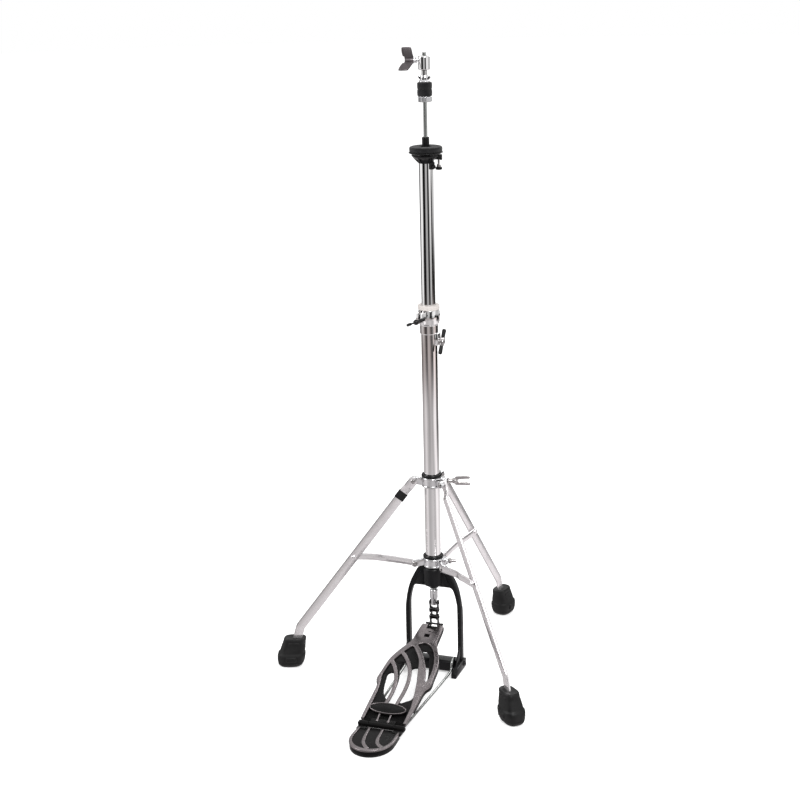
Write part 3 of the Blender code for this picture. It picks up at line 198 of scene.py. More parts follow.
class FinishShop:
    """Makes shader groups once, and one material for each finish."""

    def __init__(self) -> None:
        """Start with no groups and no materials."""
        self.groups: dict[str, NodeTree] = {}
        self.materials: dict[str, bpy.types.Material] = {}

    @staticmethod
    def _sockets(tree: NodeTree, way: str, names: Iterable[tuple[str, str]]) -> None:
        """Add named sockets to a group.

        Args:
            tree: The group's tree.
            way: INPUT or OUTPUT.
            names: Pairs of socket name and socket kind.
        """
        for name, kind in names:
            tree.interface.new_socket(name=name, in_out=way, socket_type=kind)

    def patina(self) -> NodeTree:
        """The group that varies colour and roughness in soft, uneven patches.

        Returns:
            The shared group, with Colour and Roughness outputs.
        """
        if "patina" in self.groups:
            return self.groups["patina"]
        tree = bpy.data.node_groups.new("patina", "ShaderNodeTree")
        self._sockets(tree, "INPUT", [("Colour", "NodeSocketColor"), ("Worn", "NodeSocketColor")])
        numbers = ("Patch Scale", "Wear", "Smooth", "Rough")
        self._sockets(tree, "INPUT", [(name, "NodeSocketFloat") for name in numbers])
        self._sockets(
            tree, "OUTPUT", [("Colour", "NodeSocketColor"), ("Roughness", "NodeSocketFloat")]
        )
        entry = tree.nodes.new("NodeGroupInput").outputs
        where = add(tree, "ShaderNodeTexCoord", {}).outputs["Object"]
        look = {"Vector": where, "Scale": entry["Patch Scale"], "Detail": 6.0, "Roughness": 0.62}
        patches = add(tree, "ShaderNodeTexNoise", look).outputs["Fac"]
        limits = {"Value": patches, "From Min": 0.36, "From Max": 0.70}
        ramp = add(tree, "ShaderNodeMapRange", limits).outputs["Result"]
        share = add(tree, "ShaderNodeMath", {0: ramp, 1: entry["Wear"]}, operation="MULTIPLY")
        colours = {"Factor": share.outputs[0], 6: entry["Colour"], 7: entry["Worn"]}
        mix = add(tree, "ShaderNodeMix", colours, data_type="RGBA")
        spread = {"Value": ramp, "To Min": entry["Smooth"], "To Max": entry["Rough"]}
        gloss = add(tree, "ShaderNodeMapRange", spread)
        add(
            tree, "NodeGroupOutput", {"Colour": mix.outputs[2],
            "Roughness": gloss.outputs["Result"]}
        )
        self.groups["patina"] = tree
        return tree

    def relief(self, grain: Grain) -> NodeTree:
        """The group that gives the fine height of one grain.

        Args:
            grain: Which surface detail is wanted.

        Returns:
            The shared group, with one Height output.
        """
        key = f"relief_{grain.value}"
        if key in self.groups:
            return self.groups[key]
        tree = bpy.data.node_groups.new(key, "ShaderNodeTree")
        self._sockets(tree, "INPUT", [("Scale", "NodeSocketFloat")])
        self._sockets(tree, "OUTPUT", [("Height", "NodeSocketFloat")])
        scale = tree.nodes.new("NodeGroupInput").outputs["Scale"]
        vector = add(tree, "ShaderNodeTexCoord", {}).outputs["Object"]
        if grain in (Grain.POLISHED, Grain.SATIN):
            brushed = (1.0, 1.0, 9.0 if grain is Grain.SATIN else 3.0)
            stretch = add(tree, "ShaderNodeMapping", {"Vector": vector, "Scale": brushed})
            vector = stretch.outputs["Vector"]
        detail, roughness = (8.0, 0.72) if grain is Grain.FELT else (4.0, 0.55)
        look = {"Vector": vector, "Scale": scale, "Detail": detail, "Roughness": roughness}
        height = add(tree, "ShaderNodeTexNoise", look).outputs["Fac"]
        if grain in (Grain.RUBBER, Grain.CAST, Grain.MOULDED, Grain.FELT):
            bigger = add(tree, "ShaderNodeMath", {0: scale, 1: CELL_SCALE}, operation="MULTIPLY")
            cells = add(tree, "ShaderNodeTexVoronoi", {}, feature="SMOOTH_F1")
            tree.links.new(bigger.outputs[0], cells.inputs["Scale"])
            tree.links.new(vector, cells.inputs["Vector"])
            sums = {0: cells.outputs["Distance"], 1: CELL_SHARE, 2: height}
            height = add(tree, "ShaderNodeMath", sums, operation="MULTIPLY_ADD").outputs[0]
        add(tree, "NodeGroupOutput", {"Height": height})
        self.groups[key] = tree
        return tree

    def material(self, finish: Finish) -> bpy.types.Material:
        """The material of one finish.

        Args:
            finish: The finish to make.

        Returns:
            The material, made on first use.
        """
        if finish.name in self.materials:
            return self.materials[finish.name]
        made = bpy.data.materials.new(finish.name)
        made.use_nodes = True
        made.diffuse_color = (*finish.colour, 1.0)
        tree = made.node_tree
        shader = tree.nodes["Principled BSDF"]
        shader.inputs["Metallic"].default_value = finish.metallic
        shader.inputs["Sheen Weight"].default_value = finish.sheen
        shader.inputs["Specular IOR Level"].default_value = finish.specular
        patina = add(tree, "ShaderNodeGroup", {}, node_tree=self.patina())
        values = {
            "Colour": (*finish.colour, 1.0), "Worn": (*finish.worn, 1.0),
            "Patch Scale": finish.patch, "Wear": finish.wear, "Smooth": finish.smooth,
            "Rough": finish.rough
        }
        for key, value in values.items():
            patina.inputs[key].default_value = value
        tree.links.new(patina.outputs["Colour"], shader.inputs["Base Color"])
        tree.links.new(patina.outputs["Roughness"], shader.inputs["Roughness"])
        relief = add(tree, "ShaderNodeGroup", {}, node_tree=self.relief(finish.grain))
        relief.inputs["Scale"].default_value = GRAIN_SCALE[finish.grain]
        strength = 0.35 if finish.grain is Grain.POLISHED else 0.8
        rise = {"Strength": strength, "Distance": finish.depth, "Height": relief.outputs["Height"]}
        bump = add(tree, "ShaderNodeBump", rise)
        tree.links.new(bump.outputs["Normal"], shader.inputs["Normal"])
        self.materials[finish.name] = made
        return made


SHOP = FinishShop()


# ---------------------------------------------------------------- geometry nodes


class Tree(Enum):
    """The geometry trees that this stand uses."""

    ROW = "copies_in_a_row"
    RING = "copies_round_the_axis"
    BAR = "bar_along_a_path"


class Trees:
    """Builds each geometry tree once and runs meshes through it."""

    def __init__(self) -> None:
        """Start with no trees."""
        self.made: dict[Tree, NodeTree] = {}

    @staticmethod
    def _start(name: str, inputs: Iterable[tuple[str, str]]) -> tuple:
        """A new tree with geometry in and out, and its named inputs.

        Args:
            name: The tree's name.
            inputs: Pairs of socket name and socket kind.

        Returns:
            The tree, its input node and its output node.
        """
        tree = bpy.data.node_groups.new(name, "GeometryNodeTree")
        tree.interface.new_socket(name="Geometry", in_out="INPUT", socket_type="NodeSocketGeometry")
        for label, kind in inputs:
            tree.interface.new_socket(name=label, in_out="INPUT", socket_type=kind)
        tree.interface.new_socket(
            name="Geometry", in_out="OUTPUT", socket_type="NodeSocketGeometry"
        )
        return tree, tree.nodes.new("NodeGroupInput"), tree.nodes.new("NodeGroupOutput")

    @staticmethod
    def _end(tree: NodeTree, entry: bpy.types.Node, leave: bpy.types.Node, shape) -> None:
        """Close a tree with Realize Instances and Set Material.

        Args:
            tree: The tree.
            entry: Its input node, which has a Material socket.
            leave: Its output node.
            shape: The socket that holds the result.
        """
        real = add(tree, "GeometryNodeRealizeInstances", {0: shape}).outputs[0]
        coat = {"Geometry": real, "Material": entry.outputs["Material"]}
        paint = add(tree, "GeometryNodeSetMaterial", coat)
        tree.links.new(paint.outputs[0], leave.inputs[0])

    def _row(self) -> NodeTree:
        """Copies of the input in a straight row, Spacing apart."""
        inputs = [
            ("Count", "NodeSocketInt"), ("Spacing", "NodeSocketVector"),
            ("Material", "NodeSocketMaterial")
        ]
        tree, entry, leave = self._start(Tree.ROW.value, inputs)
        given = entry.outputs
        line = add(
            tree, "GeometryNodeMeshLine", {"Count": given["Count"], "Offset": given["Spacing"]}
        )
        copied = {"Points": line.outputs[0], "Instance": given["Geometry"]}
        copies = add(tree, "GeometryNodeInstanceOnPoints", copied)
        self._end(tree, entry, leave, copies.outputs[0])
        return tree

    def _ring(self) -> NodeTree:
        """Copies of the input turned about Z, Step radians apart."""
        inputs = [
            ("Count", "NodeSocketInt"), ("Step", "NodeSocketFloat"),
            ("Material", "NodeSocketMaterial")
        ]
        tree, entry, leave = self._start(Tree.RING.value, inputs)
        given = entry.outputs
        still = {"Count": given["Count"], "Offset": (0.0, 0.0, 0.0)}
        line = add(tree, "GeometryNodeMeshLine", still)
        index = add(tree, "GeometryNodeInputIndex", {}).outputs[0]
        turn = add(tree, "ShaderNodeMath", {0: index, 1: given["Step"]}, operation="MULTIPLY")
        vector = add(tree, "ShaderNodeCombineXYZ", {"Z": turn.outputs[0]})
        copied = {
            "Points": line.outputs[0], "Instance": given["Geometry"], "Rotation": vector.outputs[0]
        }
        copies = add(tree, "GeometryNodeInstanceOnPoints", copied)
        self._end(tree, entry, leave, copies.outputs[0])
        return tree

    def _bar(self) -> NodeTree:
        """A bar swept along the input's edges, Flatten times as high as wide."""
        inputs = [
            ("Radius", "NodeSocketFloat"), ("Flatten", "NodeSocketFloat"),
            ("Sides", "NodeSocketInt"), ("Material", "NodeSocketMaterial")
        ]
        tree, entry, leave = self._start(Tree.BAR.value, inputs)
        given = entry.outputs
        curve = add(tree, "GeometryNodeMeshToCurve", {0: given["Geometry"]}).outputs[0]
        upright = add(tree, "GeometryNodeSetCurveNormal", {0: curve}, mode="MINIMUM_TWIST")
        size = {"Resolution": given["Sides"], "Radius": given["Radius"]}
        circle = add(tree, "GeometryNodeCurvePrimitiveCircle", size).outputs[0]
        squash = add(
            tree, "ShaderNodeCombineXYZ", {"X": 1.0, "Y": given["Flatten"], "Z": 1.0}
        ).outputs[0]
        shape = add(tree, "GeometryNodeTransform", {"Geometry": circle, "Scale": squash})
        swept = {"Curve": upright.outputs[0], "Profile Curve": shape.outputs[0], "Fill Caps": True}
        sweep = add(tree, "GeometryNodeCurveToMesh", swept)
        self._end(tree, entry, leave, sweep.outputs[0])
        return tree

    def run(self, tree: Tree, mesh: Mesh, finish: Finish, **values) -> Mesh:
        """Run a mesh through one tree.

        Args:
            tree: Which tree.
            mesh: The tree's input geometry.
            finish: The finish that Set Material gives.
            values: The tree's named inputs, with _ for a space.

        Returns:
            A plain mesh.
        """
        builders = {Tree.ROW: self._row, Tree.RING: self._ring, Tree.BAR: self._bar}
        if tree not in self.made:
            self.made[tree] = builders[tree]()
        group = self.made[tree]
        holder = bpy.data.objects.new(tree.value, mesh)
        bpy.context.scene.collection.objects.link(holder)
        modifier = holder.modifiers.new(tree.value, "NODES")
        modifier.node_group = group
        wanted = {key.replace("_", " "): value for key, value in values.items()}
        wanted["Material"] = SHOP.material(finish)
        for item in group.interface.items_tree:
            if item.item_type == "SOCKET" and item.in_out == "INPUT" and item.name in wanted:
                modifier[item.identifier] = wanted[item.name]
        result = evaluated_mesh(holder)
        bpy.data.objects.remove(holder)
        return result


TREES = Trees()


def evaluated_mesh(holder: bpy.types.Object) -> Mesh:
    """The plain mesh of an object with its modifiers applied.

    Args:
        holder: The object to evaluate.

    Returns:
        A new mesh.
    """
    bpy.context.view_layer.update()
    graph = bpy.context.evaluated_depsgraph_get()
    return bpy.data.meshes.new_from_object(holder.evaluated_get(graph))


# ---------------------------------------------------------------- shapes


def to_mesh(bm: bmesh.types.BMesh) -> Mesh:
    """Close a bmesh off as a mesh whose faces point outwards.

    Args:
        bm: The shape, which is freed.

    Returns:
        The mesh.
    """
    bmesh.ops.recalc_face_normals(bm, faces=bm.faces)
    mesh = bpy.data.meshes.new("shape")
    bm.to_mesh(mesh)
    bm.free()
    return mesh


def fillet(profile: Profile, radius: float, steps: int = 3) -> list[Pair]:
    """Round every corner of a profile that isn't on the axis.

    Args:
        profile: The corners, as (radius, height).
        radius: The largest fillet radius.
        steps: Points for each fillet, less one.

    Returns:
        The rounded profile.
    """
    closed = profile[0][0] > 0
    count = len(profile)
    points: list[Pair] = []
    for index, corner in enumerate(profile):
        if not closed and index in (0, count - 1):
            points.append(corner)
            continue
        here = Vector(corner)
        before = Vector(profile[index - 1]) - here
        after = Vector(profile[(index + 1) % count]) - here
        reach = min(radius, before.length * FILLET_SHARE, after.length * FILLET_SHARE)
        start = here + before.normalized() * reach
        end = here + after.normalized() * reach
        for step in range(steps + 1):
            share = step / steps
            bend = start.lerp(here, share).lerp(here.lerp(end, share), share)
            points.append((bend.x, bend.y))
    return points


def supported(points: Profile, closed: bool) -> list[Pair]:
    """Add a point beside both ends of each long side, so its shading stays level.

    Args:
        points: The rounded profile.
        closed: Whether its last point joins its first.

    Returns:
        The profile with the added points.
    """
    near, least = 0.0004, 0.0030
    made: list[Pair] = []
    for index, point in enumerate(points):
        made.append(tuple(point))
        if index == len(points) - 1 and not closed:
            break
        start, end = Vector(point), Vector(points[(index + 1) % len(points)])
        length = (end - start).length
        if length > least:
            made += [
                tuple(start.lerp(end, near / length)), tuple(start.lerp(end, 1 - near / length))
            ]
    return made


def turned(profile: Profile, segments: int = 64, round_by: float = 0.0004) -> Mesh:
    """A turned piece about Z.

    Args:
        profile: Corners as (radius, height). One that starts on the axis is a
            solid, and any other is joined end to end into a ring.
        segments: Faces round the axis.
        round_by: The fillet on every corner.

    Returns:
        The mesh.
    """
    bm = bmesh.new()
    rings = []
    for radius, height in supported(fillet(profile, round_by), profile[0][0] > 0):
        if radius <= ON_AXIS:
            rings.append([bm.verts.new((0.0, 0.0, height))])
            continue
        turns = (math.tau * step / segments for step in range(segments))
        rings.append(
            [bm.verts.new((radius * math.cos(t), radius * math.sin(t), height)) for t in turns]
        )
    pairs = list(zip(rings, rings[1:]))
    if len(rings[0]) > 1:
        pairs.append((rings[-1], rings[0]))
    for low, high in pairs:
        for step in range(segments):
            after = (step + 1) % segments
            if len(low) == 1:
                bm.faces.new((low[0], high[step], high[after]))
            elif len(high) == 1:
                bm.faces.new((low[step], high[0], low[after]))
            else:
                bm.faces.new((low[step], high[step], high[after], low[after]))
    return to_mesh(bm)


def ring(inner: float, outer: float, low: float, high: float, round_by: float = 0.0004) -> Mesh:
    """A plain ring with softened edges."""
    return turned([(outer, low), (outer, high), (inner, high), (inner, low)], 64, round_by)


def pin(
    radius: float, low: float, high: float, segments: int = 32, round_by: float = 0.0004
) -> Mesh:
    """A plain round bar along Z with softened ends."""
    return turned([(0, low), (radius, low), (radius, high), (0, high)], segments, round_by)


def headed_pin(radius: float, head: float, low: float, high: float) -> Mesh:
    """A pin along Z with a domed head at both ends.

    Args:
        radius: The shank's radius.
        head: The heads' radius.
        low: Where the lower head meets the work.
        high: Where the upper head meets the work.

    Returns:
        The mesh.
    """
    dome = [(0.0, 0.0018), (0.45, 0.00165), (0.80, 0.0011), (1.0, 0.0003), (1.0, 0.0)]
    under = [(share * head, low - rise) for share, rise in dome]
    above = [(share * head, high + rise) for share, rise in reversed(dome)]
    return turned(under + [(radius, low), (radius, high)] + above, 32, 0.0001)


def plate(
    outline: Loop, low: float, high: float, holes: Sequence[Loop] = (), bevel: float = 0.0006,
    steps: int = 2
) -> Mesh:
    """A flat plate in XY with holes and rounded edges.

    Args:
        outline: The outer edge.
        low: Height of the underside.
        high: Height of the top.
        holes: Inner edges.
        bevel: Radius of the rounding.
        steps: Fineness of the rounding.

    Returns:
        The mesh.
    """
    curve = bpy.data.curves.new("plate", "CURVE")
    curve.dimensions = "2D"
    curve.fill_mode = "BOTH"
    curve.extrude = max((high - low) / 2 - bevel, 0.0)
    curve.bevel_depth = bevel
    curve.bevel_resolution = steps
    curve.offset = -bevel
    for loop in [outline, *holes]:
        spline = curve.splines.new("POLY")
        spline.points.add(len(loop) - 1)
        for point, (x, y) in zip(spline.points, loop):
            point.co = (x, y, 0.0, 1.0)
        spline.use_cyclic_u = True
    holder = bpy.data.objects.new("plate", curve)
    bpy.context.scene.collection.objects.link(holder)
    mesh = evaluated_mesh(holder)
    bpy.data.objects.remove(holder)
    bm = bmesh.new()
    bm.from_mesh(mesh)
    bmesh.ops.remove_doubles(bm, verts=bm.verts, dist=WELD)
    bmesh.ops.translate(bm, verts=bm.verts, vec=(0.0, 0.0, (low + high) / 2))
    return to_mesh(bm)


def block(low: Sequence[float], high: Sequence[float], bevel: float = 0.0008) -> Mesh:
    """A rectangular block with rounded edges.

    Args:
        low: The lowest corner.
        high: The highest corner.
        bevel: Radius of the rounding.

    Returns:
        The mesh.
    """
    bm = bmesh.new()
    size = Vector(high) - Vector(low)
    middle = (Vector(high) + Vector(low)) / 2
    bmesh.ops.create_cube(
        bm, size=1.0, matrix=Matrix.Translation(middle) @ Matrix.Diagonal((*size, 1.0))
    )
    bmesh.ops.bevel(bm, geom=bm.edges[:], offset=bevel, segments=3, profile=0.5, affect="EDGES")
    return to_mesh(bm)


def prism(outline: Loop, low: float, high: float, bevel: float = 0.0006) -> Mesh:
    """An extruded outline with every sharp edge rounded.

    Args:
        outline: The outline in XY.
        low: Height of the underside.
        high: Height of the top.
        bevel: Radius of the rounding.

    Returns:
        The mesh.
    """
    bm = bmesh.new()
    under = [bm.verts.new((x, y, low)) for x, y in outline]
    above = [bm.verts.new((x, y, high)) for x, y in outline]
    bm.faces.new(under[::-1])
    bm.faces.new(above)
    for step in range(len(outline)):
        after = (step + 1) % len(outline)
        bm.faces.new((under[step], under[after], above[after], above[step]))
    round_edges(bm, bevel)
    return to_mesh(bm)


def round_edges(bm: bmesh.types.BMesh, bevel: float) -> None:
    """Round the edges of a shape that are sharper than 30 degrees.

    Args:
        bm: The shape.
        bevel: Radius of the rounding.
    """
    bmesh.ops.recalc_face_normals(bm, faces=bm.faces)
    sharp = [edge for edge in bm.edges if edge.is_manifold and edge.calc_face_angle(0.0) > ROUNDED]
    bmesh.ops.bevel(
        bm, geom=sharp, offset=bevel, segments=2, profile=0.5, affect="EDGES", clamp_overlap=True
    )


@dataclass
class Station:
    """One cross-section of a flat strip in a radial plane."""

    radius: float
    height: float
    shift: float
    half: float
    angle: float


def skin(bm: bmesh.types.BMesh, rings: Sequence[Sequence[bmesh.types.BMVert]]) -> None:
    """Join rings of vertices, one after the other, with four-sided faces."""
    for low, high in zip(rings, rings[1:]):
        for step in range(len(low)):
            after = (step + 1) % len(low)
            bm.faces.new((low[step], low[after], high[after], high[step]))


def strip(stations: Sequence[Station], thick: float, bevel: float = 0.0006) -> Mesh:
    """A flat bent strip whose sections follow the stations.

    Args:
        stations: The cross-sections from end to end.
        thick: The strip's thickness.
        bevel: Radius of its edges.

    Returns:
        The mesh.
    """
    bm = bmesh.new()
    rings = []
    for station in stations:
        turn = math.radians(station.angle)
        wide = Vector((math.cos(turn), 0.0, math.sin(turn)))
        centre = Vector((station.radius, station.shift, station.height))
        corners = ((-1, -1), (1, -1), (1, 1), (-1, 1))
        points = [
            centre + wide * station.half * a + Vector((0.0, thick / 2 * b, 0.0)) for a, b in corners
        ]
        rings.append([bm.verts.new(point) for point in points])
    skin(bm, rings)
    bm.faces.new(rings[0][::-1])
    bm.faces.new(rings[-1])
    bmesh.ops.recalc_face_normals(bm, faces=bm.faces)
    sides = (pair for low, high in zip(rings, rings[1:]) for pair in zip(low, high))
    long_edges = [bm.edges.get(pair) for pair in sides]
    bmesh.ops.bevel(bm, geom=long_edges, offset=bevel, segments=2, profile=0.5, affect="EDGES")
    return to_mesh(bm)


def path_bar(
    points: Sequence[Sequence[float]], radius: float, finish: Finish, flatten: float = 1.0
) -> Mesh:
    """A bar along a smooth path, made by the path tree.

    Args:
        points: The path's corners, which are smoothed.
        radius: Half of the bar's width.
        finish: The bar's finish.
        flatten: Height as a share of the width.

    Returns:
        The mesh.
    """
    line = smooth_path(points, 6)
    wire = bpy.data.meshes.new("path")
    wire.from_pydata(line, [(step, step + 1) for step in range(len(line) - 1)], [])
    return TREES.run(Tree.BAR, wire, finish, Radius=radius, Flatten=flatten, Sides=16)


def smooth_path(points: Sequence[Sequence[float]], parts: int, closed: bool = False) -> list[tuple]:
    """A curve through every point.

    Args:
        points: The points, in any number of dimensions.
        parts: How many pieces each stretch is cut into.
        closed: Whether the last point joins the first.

    Returns:
        The curve's points.
    """
    corners = [Vector(point) for point in points]
    count = len(corners)
    curve = []
    stretches = count if closed else count - 1
    for index in range(stretches):
        if closed:
            a, b, c, d = (corners[(index + step) % count] for step in (-1, 0, 1, 2))
        else:
            a = corners[max(index - 1, 0)]
            b, c = corners[index], corners[index + 1]
            d = corners[min(index + 2, count - 1)]
        for part in range(parts):
            t = part / parts
            point = b * 2 + (c - a) * t + (a * 2 - b * 5 + c * 4 - d) * t * t
            point += (b * 3 - a - c * 3 + d) * t * t * t
            curve.append(tuple(point / 2))
    if not closed:
        curve.append(tuple(corners[-1]))
    return curve


def arc(centre: Sequence[float], radius: float, start: float, end: float, steps: int) -> list[Pair]:
    """Points of an arc, with the angles in degrees."""
    turns = [math.radians(start + (end - start) * step / steps) for step in range(steps + 1)]
    return [
        (centre[0] + radius * math.cos(turn), centre[1] + radius * math.sin(turn)) for turn in turns
    ]


def mirrored(half: Loop) -> list[Pair]:
    """Close an outline that is given for +X only."""
    return list(half) + [(-x, y) for x, y in reversed(half)]


def ribbon(points: Sequence[Sequence[float]], start: float, end: float) -> list[Pair]:
    """The outline of a band that follows a line and changes width.

    Args:
        points: The middle line, which is smoothed.
        start: Half of the width where the line starts.
        end: Half of the width where it ends.

    Returns:
        The closed outline.
    """
    line = [Vector(point) for point in smooth_path(points, 6)]
    left, right = [], []
    for index, point in enumerate(line):
        along = (line[min(index + 1, len(line) - 1)] - line[max(index - 1, 0)]).normalized()
        aside = Vector((-along.y, along.x)) * (start + (end - start) * index / (len(line) - 1))
        left.append(tuple(point + aside))
        right.append(tuple(point - aside))
    return left + right[::-1]


# ---------------------------------------------------------------- placing


def radial(degrees: float, height: float) -> Matrix:
    """A place whose +Z points outwards from the column."""
    turn = Matrix.Rotation(math.radians(degrees), 4, "Z")
    return Matrix.Translation((0, 0, height)) @ turn @ Matrix.Rotation(math.pi / 2, 4, "Y")


def around(degrees: float) -> Matrix:
    """A turn about the column."""
    return Matrix.Rotation(math.radians(degrees), 4, "Z")


def across(x: float, y: float, z: float) -> Matrix:
    """A place whose +Z points along +X."""
    return Matrix.Translation((x, y, z)) @ Matrix.Rotation(math.pi / 2, 4, "Y")


def tangent(radius: float, height: float) -> Matrix:
    """A place in the radial plane whose +Z points along +Y."""
    return Matrix.Translation((radius, 0, height)) @ Matrix.Rotation(-math.pi / 2, 4, "X")


UPRIGHT = Matrix.Rotation(math.pi / 2, 4, "X")
SIDEWAYS = Matrix.Rotation(math.pi / 2, 4, "Z") @ Matrix.Rotation(math.pi / 2, 4, "X")

Shape = tuple[Mesh, Matrix]


def piece(
    name: str, shapes: Sequence[Shape], finish: Finish, body: str, nodes: Sequence[str] = ()
) -> bpy.types.Object:
    """Join shapes into one finished piece that rides on a body.

    Args:
        name: The piece's name.
        shapes: Meshes, each with its place.
        finish: The piece's finish.
        body: The body that it moves with.
        nodes: The frame's nodes that it stands for.

    Returns:
        The piece, at the origin with its place in its mesh.
    """
    bm = bmesh.new()
    for mesh, where in shapes:
        part = mesh.copy()
        part.transform(Matrix.Translation(COLUMN) @ where)
        bm.from_mesh(part)
        bpy.data.meshes.remove(part)
    mesh = bpy.data.meshes.new(name)
    bm.to_mesh(mesh)
    bm.free()
    mesh.materials.clear()
    mesh.materials.append(SHOP.material(finish))
    mesh.polygons.foreach_set("material_index", [0] * len(mesh.polygons))
    mesh.shade_smooth()
    mesh.set_sharp_from_angle(angle=SHARP)
    made = bpy.data.objects.new(name, mesh)
    bpy.context.scene.collection.objects.link(made)
    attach(made, body)
    if nodes:
        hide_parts(*nodes)
    log.info("%s: %d faces on %s", name, len(mesh.polygons), body)
    return made


def here(*meshes: Mesh) -> list[Shape]:
    """Shapes that already stand where they belong."""
    return [(mesh, Matrix.Identity(4)) for mesh in meshes]


def dress(node: str, finish: Finish) -> None:
    """Give a node of the frame a finish without changing its shape."""
    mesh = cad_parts[node].data
    mesh.materials.clear()
    mesh.materials.append(SHOP.material(finish))
    mesh.shade_smooth()
    mesh.set_sharp_from_angle(angle=SHARP)


# ---------------------------------------------------------------- column


@dataclass
class Column:
    """The fixed tube, its receiver and the T bolt that sets the height."""

    lower_r: float = 0.0127
    lower_z: Pair = (0.1485, 0.5800)
    upper_r: float = 0.0111
    upper_z: Pair = (0.3600, 0.8380)
    receiver_r: float = 0.0143
    receiver_z: Pair = (0.5672, 0.5830)
    bolt_z: float = 0.5557
    bolt_azimuth: float = -9.0
    arm: float = 0.0202
    arm_out: float = 0.0228
    lean: float = -24.0

    def build(self) -> None:
        """Make every piece of the column."""
        self._tubes()
        self._receiver()
        self._bolt()

    def _tubes(self) -> None:
        """The two polished tubes."""
        low, high = self.lower_z
        lower = ring(self.lower_r - 0.0012, self.lower_r, low, high)
        piece("lower_tube_polished", here(lower), TUBE_CHROME, "stand", ["lower_tube"])
        low, high = self.upper_z
        upper = ring(self.upper_r - 0.0010, self.upper_r, low, high)
        piece("upper_tube_polished", here(upper), TUBE_CHROME, "upper_column", ["upper_tube"])

    def _receiver(self) -> None:
        """The sleeve with a rolled lip and the boss for the bolt."""
        low, high = self.receiver_z
        radius = self.receiver_r
        sleeve = turned(
            [(radius - 0.0004, low), (radius, low + 0.0010), (radius, high - 0.0016),
            (radius + 0.0004, high - 0.0010), (radius + 0.0004, high),
            (self.upper_r + 0.0004, high), (self.upper_r + 0.0004, self.lower_z[1] + 0.0004),
            (self.lower_r + 0.0003, self.lower_z[1] + 0.0004), (self.lower_r + 0.0003, low)], 72,
            0.0003
        )
        boss = block(
            (self.lower_r + 0.0002, -0.0055, self.bolt_z - 0.0060), (0.0180, 0.0055, 0.5694), 0.0014
        )
        lip = pin(0.0046, 0.0150, 0.0186)
        shapes = here(sleeve) + [
            (boss, around(self.bolt_azimuth)), (lip, radial(self.bolt_azimuth, self.bolt_z))
        ]
        piece("receiver_sleeve", shapes, TUBE_CHROME, "stand", ["tube_receiver"])

    def _bolt(self) -> None:
        """The T bolt: a turned hub, and two sleeves over its arms."""
        place = radial(self.bolt_azimuth, self.bolt_z)
        hub = turned(
            [(0, 0.0134), (0.0027, 0.0134), (0.0027, 0.0190), (0.0044, 0.0196), (0.0050, 0.0210),
            (0.0050, 0.0244), (0.0040, 0.0262), (0.0022, 0.0268), (0, 0.0269)], 48, 0.0005
        )
        turn = Matrix.Rotation(
            math.radians(self.lean), 4, "Z"
        ) @ Matrix.Rotation(math.pi / 2, 4, "Y")
        arms = Matrix.Translation((0, 0, self.arm_out)) @ turn
        collar = turned(
            [(0, -0.0062), (0.0036, -0.0062), (0.0042, 0.0), (0.0036, 0.0062), (0, 0.0062)], 32,
            0.0006
        )
        core = pin(0.0022, -self.arm + 0.002, self.arm - 0.002)
        shapes = [(hub, place), (collar, place @ arms), (core, place @ arms)]
        piece("height_bolt_hub", shapes, SCREW_CHROME, "height_bolt", ["height_t_bolt"])
        sleeve = turned(
            [(0, 0.0064), (0.0030, 0.0064), (0.0031, 0.0100), (0.0033, 0.0180),
            (0.0028, self.arm - 0.0004), (0.0014, self.arm + 0.0002), (0, self.arm + 0.0003)], 32,
            0.0006
        )
        grips = TREES.run(Tree.RING, sleeve_across(sleeve), BLACK_RUBBER, Count=2, Step=math.pi)
        lean = Matrix.Rotation(math.radians(self.lean), 4, "Z")
        where = place @ Matrix.Translation((0, 0, self.arm_out)) @ lean
        piece("height_bolt_grips", [(grips, where)], BLACK_RUBBER, "height_bolt")


def sleeve_across(mesh: Mesh) -> Mesh:
    """Lay a turned sleeve along +X, and give it back."""
    mesh.transform(Matrix.Rotation(math.pi / 2, 4, "Y"))
    return mesh


